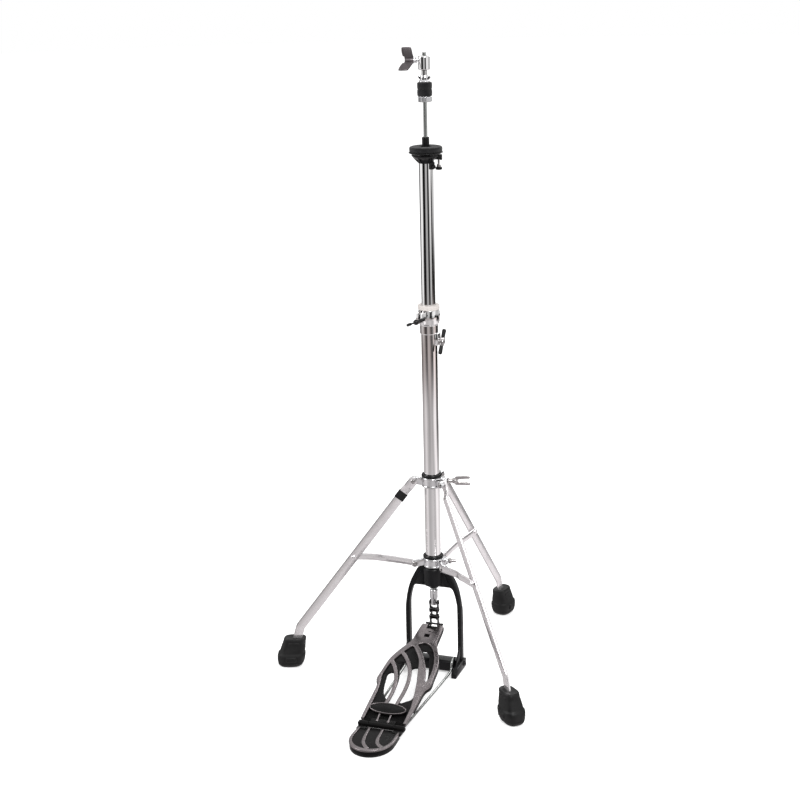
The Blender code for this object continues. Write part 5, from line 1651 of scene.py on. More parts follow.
@dataclass
class Footboard:
    """The footboard: a pewter rim with curved ribs over a black web."""

    hinge_y: float = -0.2570
    hinge_z: float = 0.0120
    toe_z: float = 0.0715
    top: float = 0.0036
    skirt: float = 0.0055
    badge_centre: Pair = (-0.0026, 0.0370)
    badge_half: Pair = (0.0300, 0.0124)
    half_outline: tuple = (
        (0.0178, 0.2566), (0.0190, 0.2500), (0.0197, 0.2400), (0.0204, 0.2250), (0.0214, 0.2100),
        (0.0255, 0.2000), (0.0320, 0.1850), (0.0375, 0.1710), (0.0412, 0.1580), (0.0432, 0.1420),
        (0.0440, 0.1250), (0.0452, 0.1120), (0.0446, 0.1020), (0.0400, 0.0930), (0.0386, 0.0780),
        (0.0380, 0.0440), (0.0368, 0.0085)
    )
    main_window: tuple = (
        (-0.0318, 0.0096), (-0.0320, 0.0500), (-0.0332, 0.0800), (-0.0356, 0.0980),
        (-0.0386, 0.1120), (-0.0386, 0.1280), (-0.0368, 0.1440), (-0.0326, 0.1590),
        (-0.0262, 0.1755), (-0.0204, 0.1880), (-0.0145, 0.1955), (-0.0060, 0.1840),
        (0.0020, 0.1710), (0.0082, 0.1570), (0.0136, 0.1350), (0.0204, 0.1090), (0.0262, 0.0800),
        (0.0291, 0.0620), (0.0312, 0.0470), (0.0318, 0.0096)
    )
    side_window: tuple = (
        (-0.0074, 0.2005), (-0.0030, 0.2050), (0.0030, 0.2070), (0.0100, 0.2045), (0.0170, 0.1975),
        (0.0240, 0.1855), (0.0305, 0.1680), (0.0348, 0.1480), (0.0366, 0.1280), (0.0360, 0.1160),
        (0.0336, 0.1125), (0.0300, 0.1260), (0.0250, 0.1420), (0.0186, 0.1580), (0.0100, 0.1740),
        (0.0010, 0.1890)
    )
    ribs: tuple = (
        ((-0.0385, 0.1562), (-0.0345, 0.1510), (-0.0235, 0.1330), (-0.0140, 0.1090),
        (-0.0096, 0.0830), (-0.0096, 0.0600), (-0.0118, 0.0440)), ((-0.0298, 0.1806),
        (-0.0255, 0.1762), (-0.0130, 0.1610), (-0.0008, 0.1380), (0.0062, 0.1120), (0.0084, 0.0860),
        (0.0076, 0.0620), (0.0068, 0.0460))
    )
    openings: tuple = (
        ((-0.0318, 0.1225), (-0.0302, 0.1060), (-0.0262, 0.0850), (-0.0196, 0.0690),
        (-0.0106, 0.0600), (-0.0090, 0.0800), (-0.0130, 0.1060), (-0.0230, 0.1260)),
        ((-0.0240, 0.1500), (-0.0185, 0.1400), (-0.0110, 0.1150), (-0.0080, 0.0860),
        (-0.0080, 0.0600), (-0.0085, 0.0480), (0.0070, 0.0480), (0.0080, 0.0620), (0.0080, 0.0860),
        (0.0050, 0.1120), (-0.0030, 0.1360), (-0.0140, 0.1540)), ((0.0020, 0.1400),
        (0.0060, 0.1180), (0.0090, 0.0880), (0.0085, 0.0630), (0.0120, 0.0570), (0.0180, 0.0620),
        (0.0262, 0.0720), (0.0215, 0.1040), (0.0170, 0.1260), (0.0120, 0.1450)), ((0.0020, 0.1850),
        (0.0100, 0.1890), (0.0180, 0.1800), (0.0230, 0.1640), (0.0290, 0.1440), (0.0330, 0.1280),
        (0.0346, 0.1180), (0.0330, 0.1140), (0.0270, 0.1340), (0.0180, 0.1560), (0.0080, 0.1740))
    )

    def _place(self) -> Matrix:
        """The board's own frame: X across, Y from hinge to toe, Z off the board."""
        slope = math.atan2(self.toe_z - self.hinge_z, -self.hinge_y)
        return Matrix.Translation((0, self.hinge_y, self.hinge_z)) @ Matrix.Rotation(slope, 4, "X")

    def _edge(self, inset: float) -> list[Pair]:
        """The board's outline, notched for the chain at the toe.

        Args:
            inset: How far the sides are moved in.

        Returns:
            The outline.
        """
        half = [(x - inset, y - (inset if y > 0.25 else 0.0)) for x, y in self.half_outline]
        notch = [
            (0.0078 + inset, 0.2450), (0.0078 + inset, half[0][1] - 0.0010),
            (0.0088 + inset, half[0][1])
        ]
        side = smooth_path(half[1:], 3)
        return mirrored(notch + [half[0]] + side)

    def build(self) -> None:
        """Make the rim with its ribs, the web, the skirt, badge and toe pin."""
        place = self._place()
        self._rim(place)
        self._web(place)
        self._badge(place)
        self._toe(place)

    def _rim(self, place: Matrix) -> None:
        """The bright rim, toe block and ribs."""
        middle, half = -0.0008, 0.0041
        square = [
            (middle - half, 0.2225), (middle + half, 0.2225), (middle + half, 0.2305),
            (middle - half, 0.2305)
        ]
        round_hole = arc((0.0006, 0.2385), 0.0016, 0, 360, 20)[:-1]
        main = smooth_path(self.main_window[1:-1], 4)
        main = [self.main_window[0], *main, self.main_window[-1]]
        side = smooth_path(self.side_window, 4, True)
        edge = self._edge(0.0)
        half_way = len(edge) // 2
        feet = self.main_window[-1][0], 0.0086
        open_edge = edge[:half_way] + [feet, *main[::-1], (-feet[0], feet[1])] + edge[half_way:]
        rim = plate(open_edge, -0.0006, self.top, [side, square, round_hole], 0.0011, 3)
        shapes: list[Shape] = [(rim, place)]
        for line in self.ribs:
            shapes.append(
                (plate(ribbon(line, 0.0036, 0.0028), 0.0002, self.top - 0.0001, bevel=0.0013,
                steps=3), place)
            )
        for line, dot in (
            (((-0.0112, 0.0240), (-0.0100, 0.0092)), -0.0099),
            (((0.0072, 0.0240), (0.0080, 0.0092)), 0.0081)
        ):
            shapes.append(
                (plate(ribbon(line, 0.0013, 0.0013), 0.0002, self.top - 0.0003, bevel=0.0004),
                place)
            )
            bead = turned(
                [(0, 0.0), (0.0021, 0.0), (0.0021, self.top - 0.0006), (0.0012, self.top),
                (0, self.top)], 24, 0.0003
            )
            shapes.append((bead, place @ Matrix.Translation((dot, 0.0088, 0.0))))
        piece("footboard_rim_and_ribs", shapes, PEWTER, "pedal", ["footboard"])

    def _web(self, place: Matrix) -> None:
        """The black web with its openings, side skirt, hinge barrel and lugs."""
        holes = [smooth_path(loop, 4, True) for loop in self.openings]
        square = [(-0.0042, 0.2232), (0.0026, 0.2232), (0.0026, 0.2298), (-0.0042, 0.2298)]
        web = plate(self._edge(0.0014), -0.0020, 0.0010, holes + [square], 0.0006)
        skirt_low = -self.skirt
        inner = [
            (x * 0.90, 0.0420 + (y - 0.0420) * 0.93) for x,
            y in self.half_outline if 0.0430 < y < 0.2350
        ]
        inner = smooth_path([(0.0335, 0.0380)] + list(reversed(inner)), 3)
        outer = [point for point in self._edge(-0.0004) if point[1] > 0.0340]
        skirt = plate(outer, skirt_low, 0.0002, [mirrored(inner)], 0.0009)
        heel_web = plate(
            [(0.0360, 0.0086), (0.0366, 0.0400), (-0.0366, 0.0400), (-0.0360, 0.0086)], -0.0023,
            0.0010, bevel=0.0007
        )
        shapes: list[Shape] = [(web, place), (skirt, place), (heel_web, place)]
        shapes.append((pin(0.0045, -0.0205, 0.0205, 40, 0.0007), place @ across(0, 0, 0)))
        shapes.append((block((-0.0202, 0.0, -0.0036), (0.0202, 0.0130, 0.0026), 0.0009), place))
        shapes.append((block((-0.0092, 0.2400, -0.0048), (0.0092, 0.2586, -0.0012), 0.0008), place))
        for side in (-1, 1):
            near, far = sorted((side * 0.0088, side * 0.0130))
            lug = prism(
                [(0.2440, -0.0048), (0.2440, 0.0016), (0.2620, 0.0016), (0.2672, -0.0002),
                (0.2680, -0.0030), (0.2650, -0.0048)], near, far, 0.0009
            )
            shapes.append((lug, place @ SIDEWAYS))
        piece("footboard_black_web", shapes, BLACK_INLAY, "pedal")

    def _oval(self, grow: float) -> list[Pair]:
        """The badge's outline, moved outwards.

        Args:
            grow: How far the outline is moved out.

        Returns:
            The outline.
        """
        (x, y), (wide, tall) = self.badge_centre, self.badge_half
        turns = [math.tau * step / 72 for step in range(72)]
        return [(x + (wide + grow) * math.cos(t), y + (tall + grow) * math.sin(t)) for t in turns]

    def _badge(self, place: Matrix) -> None:
        """The plain oval badge: a fine bright rim round a dark field."""
        rim = plate(
            self._oval(0.0), self.top - 0.0020, self.top + 0.0011, [self._oval(-0.0014)], 0.0004
        )
        piece("badge_bright_rim", [(rim, place)], PEWTER, "pedal", ["footboard_badge"])
        field_plate = plate(self._oval(-0.0008), self.top - 0.0024, self.top + 0.0005, bevel=0.0003)
        piece("badge_dark_field", [(field_plate, place)], BLACK_INLAY, "pedal")

    def _toe(self, place: Matrix) -> None:
        """The toe pin with its heads."""
        reach = math.hypot(self.toe_z - self.hinge_z, self.hinge_y)
        made = headed_pin(0.0016, 0.0019, -0.0135, 0.0135)
        piece(
            "toe_cross_pin", [(made, place @ across(0, reach, 0))], CHAIN_STEEL, "pedal",
            ["toe_pin"]
        )


# ---------------------------------------------------------------- tripod


@dataclass
class Tripod:
    """The two collars, and three legs with their struts and feet."""

    azimuths: tuple[float, ...] = (198.0, 78.0, 318.0)
    screw_azimuth: float = 18.0
    leg_pivot: Pair = (0.0303, 0.3236)
    strut_pivot: Pair = (0.0303, 0.1797)
    bend: Pair = (0.2223, 0.0691)
    tip: Pair = (0.2335, 0.0300)
    rivet_r: float = 0.1305
    upper_z: Pair = (0.3134, 0.3296)
    lower_z: Pair = (0.1755, 0.1903)
    collar_r: float = 0.0165
    leg_half: float = 0.0075
    strut_half: float = 0.00575
    leg_shift: float = 0.0054
    foot_r: float = 0.2400
    mouth: float = 0.62
    strut_bow: float = 0.0028

    def build(self) -> None:
        """Make both collars, their rings and screws, and each side."""
        self._collar("upper", self.upper_z, 0.3350, self.leg_pivot, 0.0, 0.0060, "tripod_slider")
        self._collar("lower", self.lower_z, 0.1955, self.strut_pivot, 0.0018, 0.0040, "tripod_base")
        self._wing_screw()
        self._base_bolt()
        for number, azimuth in enumerate(self.azimuths, start=1):
            self._leg(number, around(azimuth))
            self._strut(number, around(azimuth))
            self._foot(number, around(azimuth))
            self._pins(number, around(azimuth))

    def _collar(
        self, name: str, span: Pair, top: float, pivot: Pair, shift: float, thick: float, body: str
    ) -> None:
        """One clamp collar with its lugs and boss, and its black ring, whose bush reaches below the
        collar as a painted shade line.

        Args:
            name: Which collar.
            span: Its lowest and highest point.
            top: The top of the black ring.
            pivot: Radius and height of the lugs' pins.
            shift: The lugs' sideways place.
            thick: The lugs' thickness.
            body: The body that it rides on.
        """
        low, high = span
        r = self.collar_r
        band = turned(
            [(r - 0.0006, low), (r, low + 0.0008), (r, low + 0.0024), (r - 0.0004, low + 0.0030),
            (r - 0.0004, high - 0.0030), (r, high - 0.0024), (r, high - 0.0008), (r - 0.0006, high),
            (0.0146, high), (0.0146, low)], 80, 0.0003
        )
        lug = plate(
            [(0.0150, low + 0.0014)] + arc(pivot, 0.0058, -90, 90, 20) + [(0.0150, high - 0.0014)],
            -thick / 2, thick / 2, [arc(pivot, 0.0026, 0, 360, 24)[:-1]], 0.0007
        )
        lug.transform(Matrix.Translation((0, shift, 0)) @ UPRIGHT)
        lugs = TREES.run(Tree.RING, lug, CAST_CHROME, Count=3, Step=-math.tau / 3)
        middle = (low + high) / 2
        boss = turned(
            [(0.0034, 0.0150), (0.0060, 0.0150), (0.0062, 0.0225), (0.0054, 0.0243),
            (0.0046, 0.0247), (0.0034, 0.0247)], 48, 0.0005
        )
        flank = block((0.0140, -0.0072, middle - 0.0060), (0.0212, 0.0072, middle + 0.0060), 0.0018)
        shapes = here(band) + [(lugs, around(self.azimuths[0]))]
        shapes += [(boss, radial(self.screw_azimuth, middle)), (flank, around(self.screw_azimuth))]
        piece(f"{name}_collar_casting", shapes, CAST_CHROME, body, [f"{name}_collar"])
        # The bush runs 0.9 mm below the collar's lower edge: a dark line of painted contact shade
        # under the collar.
        bush = turned(
            [(0.0143, low - 0.0009), (0.0143, high + 0.0003), (0.0160, high + 0.0003),
            (0.0167, high + 0.0014), (0.0167, top - 0.0016), (0.0156, top), (0.0136, top),
            (0.0130, top - 0.0010), (0.0130, low - 0.0009)], 80, 0.0004
        )
        piece(f"{name}_collar_black_ring_and_shade_line", here(bush), BLACK_PLASTIC, body, [f"{name}_collar_ring"])

    def _wing_screw(self) -> None:
        """The clamp screw with two flat wings."""
        middle = sum(self.upper_z) / 2
        place = radial(self.screw_azimuth, middle)
        stem = turned(
            [(0, 0.0146), (0.0028, 0.0146), (0.0028, 0.0252), (0.0050, 0.0256), (0.0052, 0.0268),
            (0.0038, 0.0280), (0.0034, 0.0330), (0.0048, 0.0346), (0.0050, 0.0376),
            (0.0036, 0.0404), (0, 0.0406)], 48, 0.0005
        )
        outline = smooth_path(
            [(-0.0052, 0.0372), (0.0052, 0.0372), (0.0076, 0.0410), (0.0080, 0.0600),
            (0.0070, 0.0616), (0.0046, 0.0614), (0.0034, 0.0590), (0.0026, 0.0440), (0.0, 0.0416),
            (-0.0026, 0.0440), (-0.0034, 0.0590), (-0.0046, 0.0614), (-0.0070, 0.0616),
            (-0.0080, 0.0600), (-0.0076, 0.0410)], 4, True
        )
        wings = plate(outline, -0.0015, 0.0015, bevel=0.0007)
        turn = Matrix.Rotation(math.radians(8), 4, "Z") @ UPRIGHT
        piece(
            "tripod_wing_screw_body", [(stem, place), (wings, place @ turn)], SCREW_CHROME,
            "tripod_wing_screw", ["upper_wing_screw"]
        )

    def _base_bolt(self) -> None:
        """The small clamp bolt of the lower collar."""
        place = radial(self.screw_azimuth, sum(self.lower_z) / 2)
        bolt = turned(
            [(0, 0.0146), (0.0028, 0.0146), (0.0028, 0.0250), (0.0046, 0.0252), (0.0048, 0.0286),
            (0.0030, 0.0296), (0.0024, 0.0370), (0.0016, 0.0375), (0, 0.0375)], 40, 0.0004
        )
        piece(
            "lower_collar_clamp_bolt", [(bolt, place)], SCREW_CHROME, "tripod_base_bolt",
            ["lower_collar_bolt"]
        )

    @staticmethod
    def _round_end(
        point: Vector, along: Vector, shift: float, half: float, angle: float
    ) -> list[Station]:
        """Stations that close a strip with a half-round end.

        Args:
            point: The end's centre in the radial plane.
            along: Unit direction out of the strip.
            shift: Sideways place.
            half: Half of the strip's width.
            angle: Direction of the width, in degrees.

        Returns:
            The stations from the tip inwards.
        """
        made = []
        for degrees in (84, 70, 54, 36, 18):
            turn = math.radians(degrees)
            where = point + along * half * math.sin(turn)
            made.append(Station(where.x, where.y, shift, half * math.cos(turn), angle))
        return made

    @staticmethod
    def _width_angle(direction: Vector) -> float:
        """The direction of a strip's width when it runs along a direction."""
        return math.degrees(math.atan2(direction.x, -direction.y))

    def _rivet_point(self) -> Vector:
        """Where leg and strut cross."""
        top, bend = Vector(self.leg_pivot), Vector(self.bend)
        return top + (bend - top) * ((self.rivet_r - top.x) / (bend.x - top.x))

    def _leg(self, number: int, turn: Matrix) -> None:
        """One leg: a flat bright strip, jogged at the top and bent at the foot.

        Args:
            number: The leg's number.
            turn: Its place round the column.
        """
        top, bend, tip = Vector(self.leg_pivot), Vector(self.bend), Vector(self.tip)
        upper, lower = (bend - top).normalized(), (tip - bend).normalized()
        angle, low_angle = self._width_angle(upper), self._width_angle(lower)
        half = self.leg_half
        stations = self._round_end(top, -upper, self.leg_shift, half * 0.9, angle)
        for along, share in (
            (0.0, 1.0), (0.0100, 1.0), (0.0125, 0.97), (0.0150, 0.84), (0.0215, 0.16),
            (0.0240, 0.03), (0.0265, 0.0)
        ):
            where = top + upper * along
            stations.append(Station(where.x, where.y, self.leg_shift * share, half, angle))
        for along, share in (
            (-0.0080, 0.0), (-0.0040, 0.14), (0.0, 0.5), (0.0040, 0.86), (0.0080, 1.0)
        ):
            where = bend + (upper if along < 0 else lower) * along
            mixed = angle + (low_angle - angle) * share
            stations.append(Station(where.x, where.y, 0.0, half, mixed))
        stations.append(Station(tip.x, tip.y, 0.0, half, low_angle))
        bar = strip(stations, 0.0040, 0.0009)
        point = self._rivet_point()
        head = turned(
            [(0.0, 0.0018), (0.0044, 0.0018), (0.0044, 0.0026), (0.0034, 0.0040), (0.0016, 0.0047),
            (0.0, 0.0048)], 32, 0.0003
        )
        dimple = ring(0.0009, 0.0017, 0.0044, 0.0050, 0.0002)
        where = turn @ tangent(point.x, point.y)
        piece(
            f"leg_{number}_strip", [(bar, turn), (head, where), (dimple, where)], LEG_CHROME,
            f"tripod_leg_{number}", [f"leg_{number}"]
        )
        if number == 1:
            start, end = top + upper * 0.0260, top + upper * 0.0400
            band = strip(
                [Station(spot.x, spot.y, 0.0, half + 0.0007, angle) for spot in (start, end)],
                0.0054, 0.0010
            )
            piece("leg_1_black_band", [(band, turn)], BLACK_RUBBER, "tripod_leg_1")

    def _strut(self, number: int, turn: Matrix) -> None:
        """One strut, bowed a little and stepped behind the leg.

        Args:
            number: The strut's number.
            turn: Its place round the column.
        """
        start, end = Vector(self.strut_pivot), self._rivet_point()
        along = (end - start).normalized()
        up = Vector((-along.y, along.x))
        angle = self._width_angle(along)
        half = self.strut_half
        eye, behind = -0.0020, -0.0043
        length = (end - start).length
        stations = self._round_end(start, -along, eye, half, angle)
        for step in range(21):
            share = step / 20
            step_share = min(max((share - 0.50) / 0.14, 0.0), 1.0)
            smooth = step_share * step_share * (3 - 2 * step_share)
            where = start + along * length * share + up * self.strut_bow * math.sin(math.pi * share)
            tilt = math.degrees(self.strut_bow * math.pi / length * math.cos(math.pi * share))
            stations.append(
                Station(where.x, where.y, eye + (behind - eye) * smooth, half, angle + tilt)
            )
        stations += list(reversed(self._round_end(end, along, behind, half, angle)))
        bar = strip(stations, 0.0030, 0.0007)
        point = self._rivet_point()
        head = turned(
            [(0.0, -0.0084), (0.0016, -0.0083), (0.0034, -0.0078), (0.0044, -0.0066),
            (0.0044, -0.0056), (0.0, -0.0056)], 32, 0.0003
        )
        piece(
            f"strut_{number}_strip", [(bar, turn), (head, turn @ tangent(point.x, point.y))],
            LEG_CHROME, f"tripod_strut_{number}", [f"strut_{number}"]
        )

    def _pins(self, number: int, turn: Matrix) -> None:
        """The headed pins of one side, in both collars."""
        upper = headed_pin(0.0024, 0.0040, -0.0034, 0.0078)
        lower = headed_pin(0.0024, 0.0040, -0.0040, 0.0042)
        piece(
            f"leg_{number}_pivot_pin", [(upper, turn @ tangent(*self.leg_pivot))], SCREW_CHROME,
            "tripod_slider", [f"leg_pin_{number}"]
        )
        piece(
            f"strut_{number}_pivot_pin", [(lower, turn @ tangent(*self.strut_pivot))], SCREW_CHROME,
            "tripod_base", [f"strut_pin_{number}"]
        )

    def _foot(self, number: int, turn: Matrix) -> None:
        """One rubber foot: a boot with a collar and side lobes, with pads and a strap.

        Args:
            number: The foot's number.
            turn: Its place round the column.
        """
        sections = (
            (0.0000, 0.0158, 0.0118, 0.0018), (0.0006, 0.0172, 0.0130, 0.0018),
            (0.0030, 0.0200, 0.0150, 0.0014), (0.0062, 0.0216, 0.0164, 0.0009),
            (0.0068, 0.0210, 0.0158, 0.0008), (0.0082, 0.0211, 0.0159, 0.0007),
            (0.0088, 0.0224, 0.0172, 0.0006), (0.0130, 0.0232, 0.0181, 0.0002),
            (0.0190, 0.0235, 0.0184, -0.0004), (0.0222, 0.0230, 0.0179, -0.0010),
            (0.0238, 0.0214, 0.0164, -0.0016), (0.0262, 0.0210, 0.0160, -0.0024),
            (0.0300, 0.0207, 0.0154, -0.0034), (0.0380, 0.0196, 0.0138, -0.0052),
            (0.0450, 0.0184, 0.0124, -0.0068), (0.0458, 0.0188, 0.0127, -0.0070),
            (0.0486, 0.0184, 0.0122, -0.0078), (0.0498, 0.0172, 0.0110, -0.0080)
        )
        sides = 64
        bm = bmesh.new()
        rings = []
        for height, long_half, side_half, lean in sections:
            lobe = 0.035 * max(0.0, 1.0 - abs(height - 0.0150) / 0.0100)
            row = []
            for step in range(sides):
                angle = math.tau * step / sides
                c, s = math.cos(angle), math.sin(angle)
                swell = 1.0 - lobe * (0.5 + 0.5 * math.cos(7 * angle))
                x = math.copysign(abs(c) ** 0.72, c) * long_half * swell
                y = math.copysign(abs(s) ** 0.72, s) * side_half * swell
                row.append(bm.verts.new((self.foot_r + lean + x, y, height)))
            rings.append(row)
        skin(bm, rings)
        bm.faces.new(rings[0][::-1])
        inner = []
        for vert in rings[-1]:
            centre = Vector((self.foot_r - 0.0080, 0.0, 0.0498))
            inner.append(
                bm.verts.new(centre + (vert.co - centre) * self.mouth + Vector((0, 0, -0.0010)))
            )
        for step in range(sides):
            after = (step + 1) % sides
            bm.faces.new((rings[-1][step], rings[-1][after], inner[after], inner[step]))
        bm.faces.new(inner)
        boot = to_mesh(bm)
        pads = block(
            (self.foot_r - 0.0100, -0.0196, 0.0110), (self.foot_r + 0.0080, 0.0196, 0.0205), 0.0024
        )
        strap = block(
            (self.foot_r - 0.0160, -0.0134, 0.0320), (self.foot_r + 0.0034, 0.0134, 0.0440), 0.0020
        )
        shapes = [(boot, turn), (pads, turn), (strap, turn)]
        piece(
            f"foot_{number}_boot", shapes, BLACK_RUBBER, f"tripod_leg_{number}", [f"foot_{number}"]
        )


# ---------------------------------------------------------------- studio


@dataclass(frozen=True)
class Surround:
    """One belt of the studio as polished tube shows it, from left to right.

    Attributes:
        height: The middle of the belt, as the sine of its elevation.
        cards: Pairs of place across a tube, from -1 to 1, and the card's grey.
        tint: Red, green and blue shares of the cards' grey.
    """

    height: float
    cards: tuple[Pair, ...]
    tint: tuple[float, float, float] = (1.0, 1.0, 1.0)


@dataclass
class Studio:
    """The plain floor, the lights, the surroundings and the camera."""

    lens: float = 74.25
    azimuth: float = 19.0
    distance: float = 2.5166
    height: float = 1.2013
    look_down: float = 16.44
    heading: float = 20.1
    roll: float = -1.37
    floor_radius: float = 14.0
    belts: tuple[Surround, ...] = (
        Surround(-0.345, ((-1.0, 0.62), (-0.85, 0.50), (-0.57, 0.84), (-0.43, 0.55), (-0.30, 0.46),
        (-0.12, 0.54), (0.10, 0.64), (0.36, 0.50), (0.42, 0.54), (0.52, 1.05), (0.68, 1.08),
        (0.80, 0.86), (1.0, 0.70)), (1.0, 0.965, 0.975)), Surround(-0.295, ((-1.0, 0.60),
        (-0.86, 0.42), (-0.60, 0.80), (-0.44, 0.62), (-0.25, 0.40), (-0.10, 0.36), (0.04, 0.52),
        (0.16, 0.44), (0.30, 0.50), (0.42, 0.98), (0.66, 1.05), (0.74, 0.14), (0.86, 0.10),
        (0.92, 0.40), (1.0, 0.70)), (1.0, 0.955, 0.965)), Surround(-0.258, ((-1.0, 0.30),
        (-0.88, 0.16), (-0.66, 0.44), (-0.52, 0.30), (-0.38, 0.06), (-0.28, 0.09), (-0.14, 0.50),
        (0.04, 0.45), (0.20, 0.16), (0.32, 0.05), (0.44, 0.08), (0.53, 1.05), (0.70, 0.85),
        (0.78, 0.01), (0.94, 0.01), (1.0, 0.35)), (1.0, 0.88, 0.855)), Surround(-0.215,
        ((-1.0, 0.60), (-0.95, 0.05), (-0.89, 0.06), (-0.82, 0.95), (-0.64, 0.98), (-0.56, 0.005),
        (-0.27, 0.005), (-0.18, 0.38), (0.02, 0.44), (0.09, 0.02), (0.26, 0.004), (0.34, 0.50),
        (0.48, 0.66), (0.55, 0.004), (0.88, 0.004), (0.96, 0.50), (1.0, 0.80))), Surround(-0.165,
        ((-1.0, 0.60), (-0.95, 0.05), (-0.89, 0.06), (-0.80, 0.98), (-0.58, 0.98), (-0.50, 0.005),
        (-0.24, 0.005), (-0.14, 0.45), (0.04, 0.50), (0.10, 0.03), (0.28, 0.01), (0.36, 0.72),
        (0.52, 1.05), (0.58, 0.02), (0.66, 0.02), (0.80, 0.60), (1.0, 0.80))), Surround(-0.140,
        ((-1.0, 0.60), (-0.95, 0.10), (-0.89, 0.12), (-0.78, 1.05), (-0.56, 0.90), (-0.48, 0.005),
        (-0.22, 0.01), (-0.12, 0.50), (0.04, 0.55), (0.12, 0.03), (0.26, 0.02), (0.34, 0.90),
        (0.56, 1.05), (0.66, 0.60), (0.80, 0.50), (1.0, 0.80))), Surround(0.420, ((-1.0, 0.70),
        (-0.90, 0.10), (-0.80, 1.00), (-0.55, 0.95), (-0.45, 0.03), (-0.25, 0.03), (-0.10, 0.70),
        (0.10, 0.70), (0.18, 0.04), (0.34, 0.04), (0.42, 1.00), (0.70, 1.05), (0.80, 0.10),
        (0.90, 0.10), (1.0, 0.70))), Surround(0.600, ((-1.0, 1.00), (-0.60, 1.00), (-0.30, 0.80),
        (0.30, 0.85), (1.0, 1.00)))
    )

    def build(self) -> None:
        """Make everything that isn't the stand itself."""
        self._floor()
        self._surroundings()
        self._lights()
        self._camera()
        bpy.context.scene.view_settings.view_transform = "Standard"

    def _floor(self) -> None:
        """A wide white floor, which polished metal looks past."""
        bm = bmesh.new()
        bmesh.ops.create_circle(bm, cap_ends=True, segments=96, radius=self.floor_radius)
        mesh = bpy.data.meshes.new("studio_floor")
        bm.to_mesh(mesh)
        bm.free()
        floor = bpy.data.objects.new("studio_floor", mesh)
        floor.location.z = -0.0005
        floor.visible_glossy = False
        bpy.context.scene.collection.objects.link(floor)
        paint = bpy.data.materials.new("studio_floor")
        paint.use_nodes = True
        shader = paint.node_tree.nodes["Principled BSDF"]
        shader.inputs["Base Color"].default_value = (0.80, 0.80, 0.80, 1.0)
        shader.inputs["Roughness"].default_value = 0.9
        shader.inputs["Specular IOR Level"].default_value = 0.0
        shader.inputs["Emission Color"].default_value = (1.0, 1.0, 1.0, 1.0)
        shader.inputs["Emission Strength"].default_value = 0.42
        mesh.materials.append(paint)

    @staticmethod
    def _turn_of(across_tube: float) -> float:
        """Where a place across an upright tube looks, as a share of a turn.

        Args:
            across_tube: From -1 at the tube's left edge to 1 at its right.

        Returns:
            From 0 to 1, with 0.5 towards the camera.
        """
        return 0.5 + 2.0 * math.asin(max(-1.0, min(1.0, across_tube))) / math.tau

    def _belt(
        self, tree: NodeTree, turn: bpy.types.NodeSocket, belt: Surround
    ) -> bpy.types.NodeSocket:
        """The colours of one belt, as a ramp over the turn.

        Args:
            tree: The world's tree.
            turn: The share of a turn that each direction has.
            belt: The belt to make.

        Returns:
            The belt's colour.
        """
        ramp = tree.nodes.new("ShaderNodeValToRGB")
        elements = ramp.color_ramp.elements
        while len(elements) > 1:
            elements.remove(elements[-1])
        for index, (place, grey) in enumerate(belt.cards):
            where = self._turn_of(place)
            element = elements[0] if index == 0 else elements.new(where)
            element.position = where
            element.color = (*(grey * share for share in belt.tint), 1.0)
        tree.links.new(turn, ramp.inputs[0])
        return ramp.outputs["Color"]

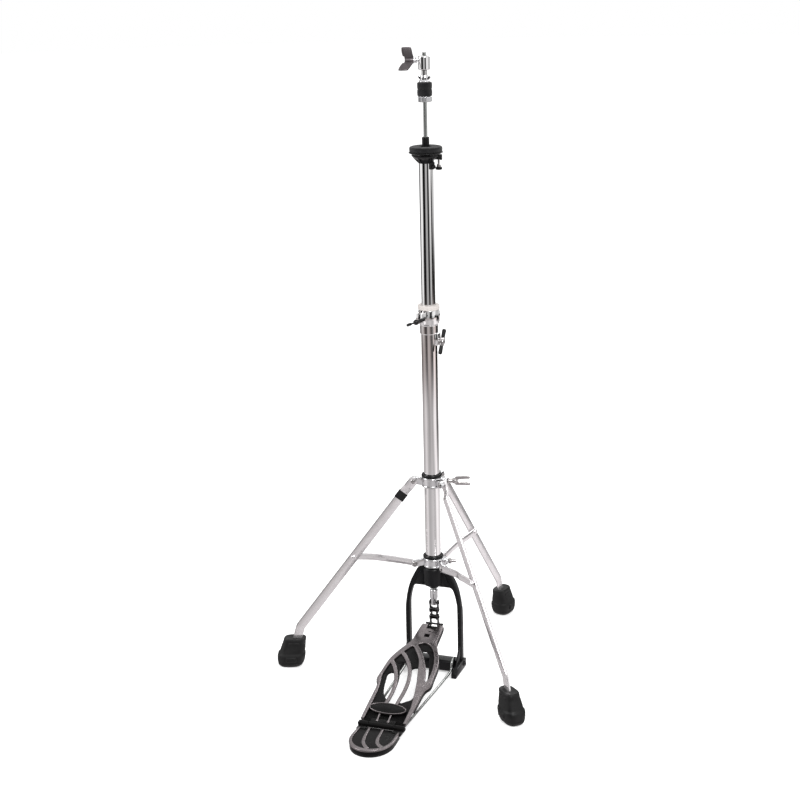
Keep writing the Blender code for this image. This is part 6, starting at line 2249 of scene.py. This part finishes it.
    def _surroundings(self) -> None:
        """A bright room with dark upright cards, which chrome shows as bands."""
        world = bpy.data.worlds.new("studio")
        bpy.context.scene.world = world
        world.use_nodes = True
        tree = world.node_tree
        tree.nodes.clear()
        where = add(tree, "ShaderNodeTexCoord", {}).outputs["Generated"]
        split = add(tree, "ShaderNodeSeparateXYZ", {0: where}).outputs
        angle = add(tree, "ShaderNodeMath", {0: split["Y"], 1: split["X"]}, operation="ARCTAN2")
        facing = 1.5 - math.radians(self.azimuth - 90.0) / math.tau
        shares = {0: angle.outputs[0], 1: 1.0 / math.tau, 2: facing}
        turn = add(tree, "ShaderNodeMath", shares, operation="MULTIPLY_ADD")
        wrapped = add(tree, "ShaderNodeMath", {0: turn.outputs[0]}, operation="FRACT").outputs[0]
        colour = self._belt(tree, wrapped, self.belts[0])
        for low, high in zip(self.belts, self.belts[1:]):
            span = {"Value": split["Z"], "From Min": low.height, "From Max": high.height}
            share = add(tree, "ShaderNodeMapRange", span, interpolation_type="SMOOTHSTEP")
            above = self._belt(tree, wrapped, high)
            both = {"Factor": share.outputs["Result"], 6: colour, 7: above}
            colour = add(tree, "ShaderNodeMix", both, data_type="RGBA").outputs[2]
        room = add(tree, "ShaderNodeBackground", {"Color": colour}).outputs[0]
        plain = add(tree, "ShaderNodeBackground", {"Color": (1.0, 1.0, 1.0, 1.0)}).outputs[0]
        seen = add(tree, "ShaderNodeLightPath", {}).outputs["Is Glossy Ray"]
        pick = add(tree, "ShaderNodeMixShader", {0: seen, 1: plain, 2: room}).outputs[0]
        add(tree, "ShaderNodeOutputWorld", {"Surface": pick})

    @staticmethod
    def _lights() -> None:
        """Three large soft lamps."""
        plan = (
            ("key", (1.6, -2.2, 2.6), 1.6, 60.0), ("fill", (-2.4, -1.2, 1.8), 1.4, 26.0),
            ("back", (0.4, 2.6, 2.4), 1.6, 30.0)
        )
        for name, spot, size, power in plan:
            lamp = bpy.data.lights.new(name, "AREA")
            lamp.shape = "DISK"
            lamp.size = size
            lamp.energy = power
            made = bpy.data.objects.new(name, lamp)
            made.location = spot
            aim = Vector((0.0, 0.0, 0.45)) - Vector(spot)
            made.rotation_euler = aim.to_track_quat("-Z", "Y").to_euler()
            bpy.context.scene.collection.objects.link(made)

    def _camera(self) -> None:
        """The camera, a little above the seat and turned with the pedal."""
        data = bpy.data.cameras.new("camera")
        data.lens = self.lens
        data.sensor_width = 36.0
        camera = bpy.data.objects.new("camera", data)
        turn = math.radians(self.azimuth)
        spot = Vector(
            (math.sin(turn) * self.distance, -math.cos(turn) * self.distance, self.height)
        )
        camera.location = COLUMN + spot
        aim = Matrix.Rotation(math.radians(self.heading), 4, "Z")
        aim @= Matrix.Rotation(math.radians(90.0 - self.look_down), 4, "X")
        aim @= Matrix.Rotation(math.radians(self.roll), 4, "Z")
        camera.rotation_euler = aim.to_euler()
        bpy.context.scene.collection.objects.link(camera)
        bpy.context.scene.camera = camera


def write_sizes() -> None:
    """Update the view layer once every piece is made."""
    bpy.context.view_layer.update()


def main() -> None:
    """Build every sub-assembly, then the studio round it."""
    logging.basicConfig(level=logging.INFO, format="%(name)s: %(message)s")
    for assembly in (
        Column(), HeightLock(), CymbalSeat(), PullRod(), Clutch(), Chain(), Yoke(), HeelPlate(),
        Footboard(), Tripod(), Studio()
    ):
        assembly.build()
        log.info("%s is done", type(assembly).__name__)
    write_sizes()


if __name__ == "__main__":
    main()
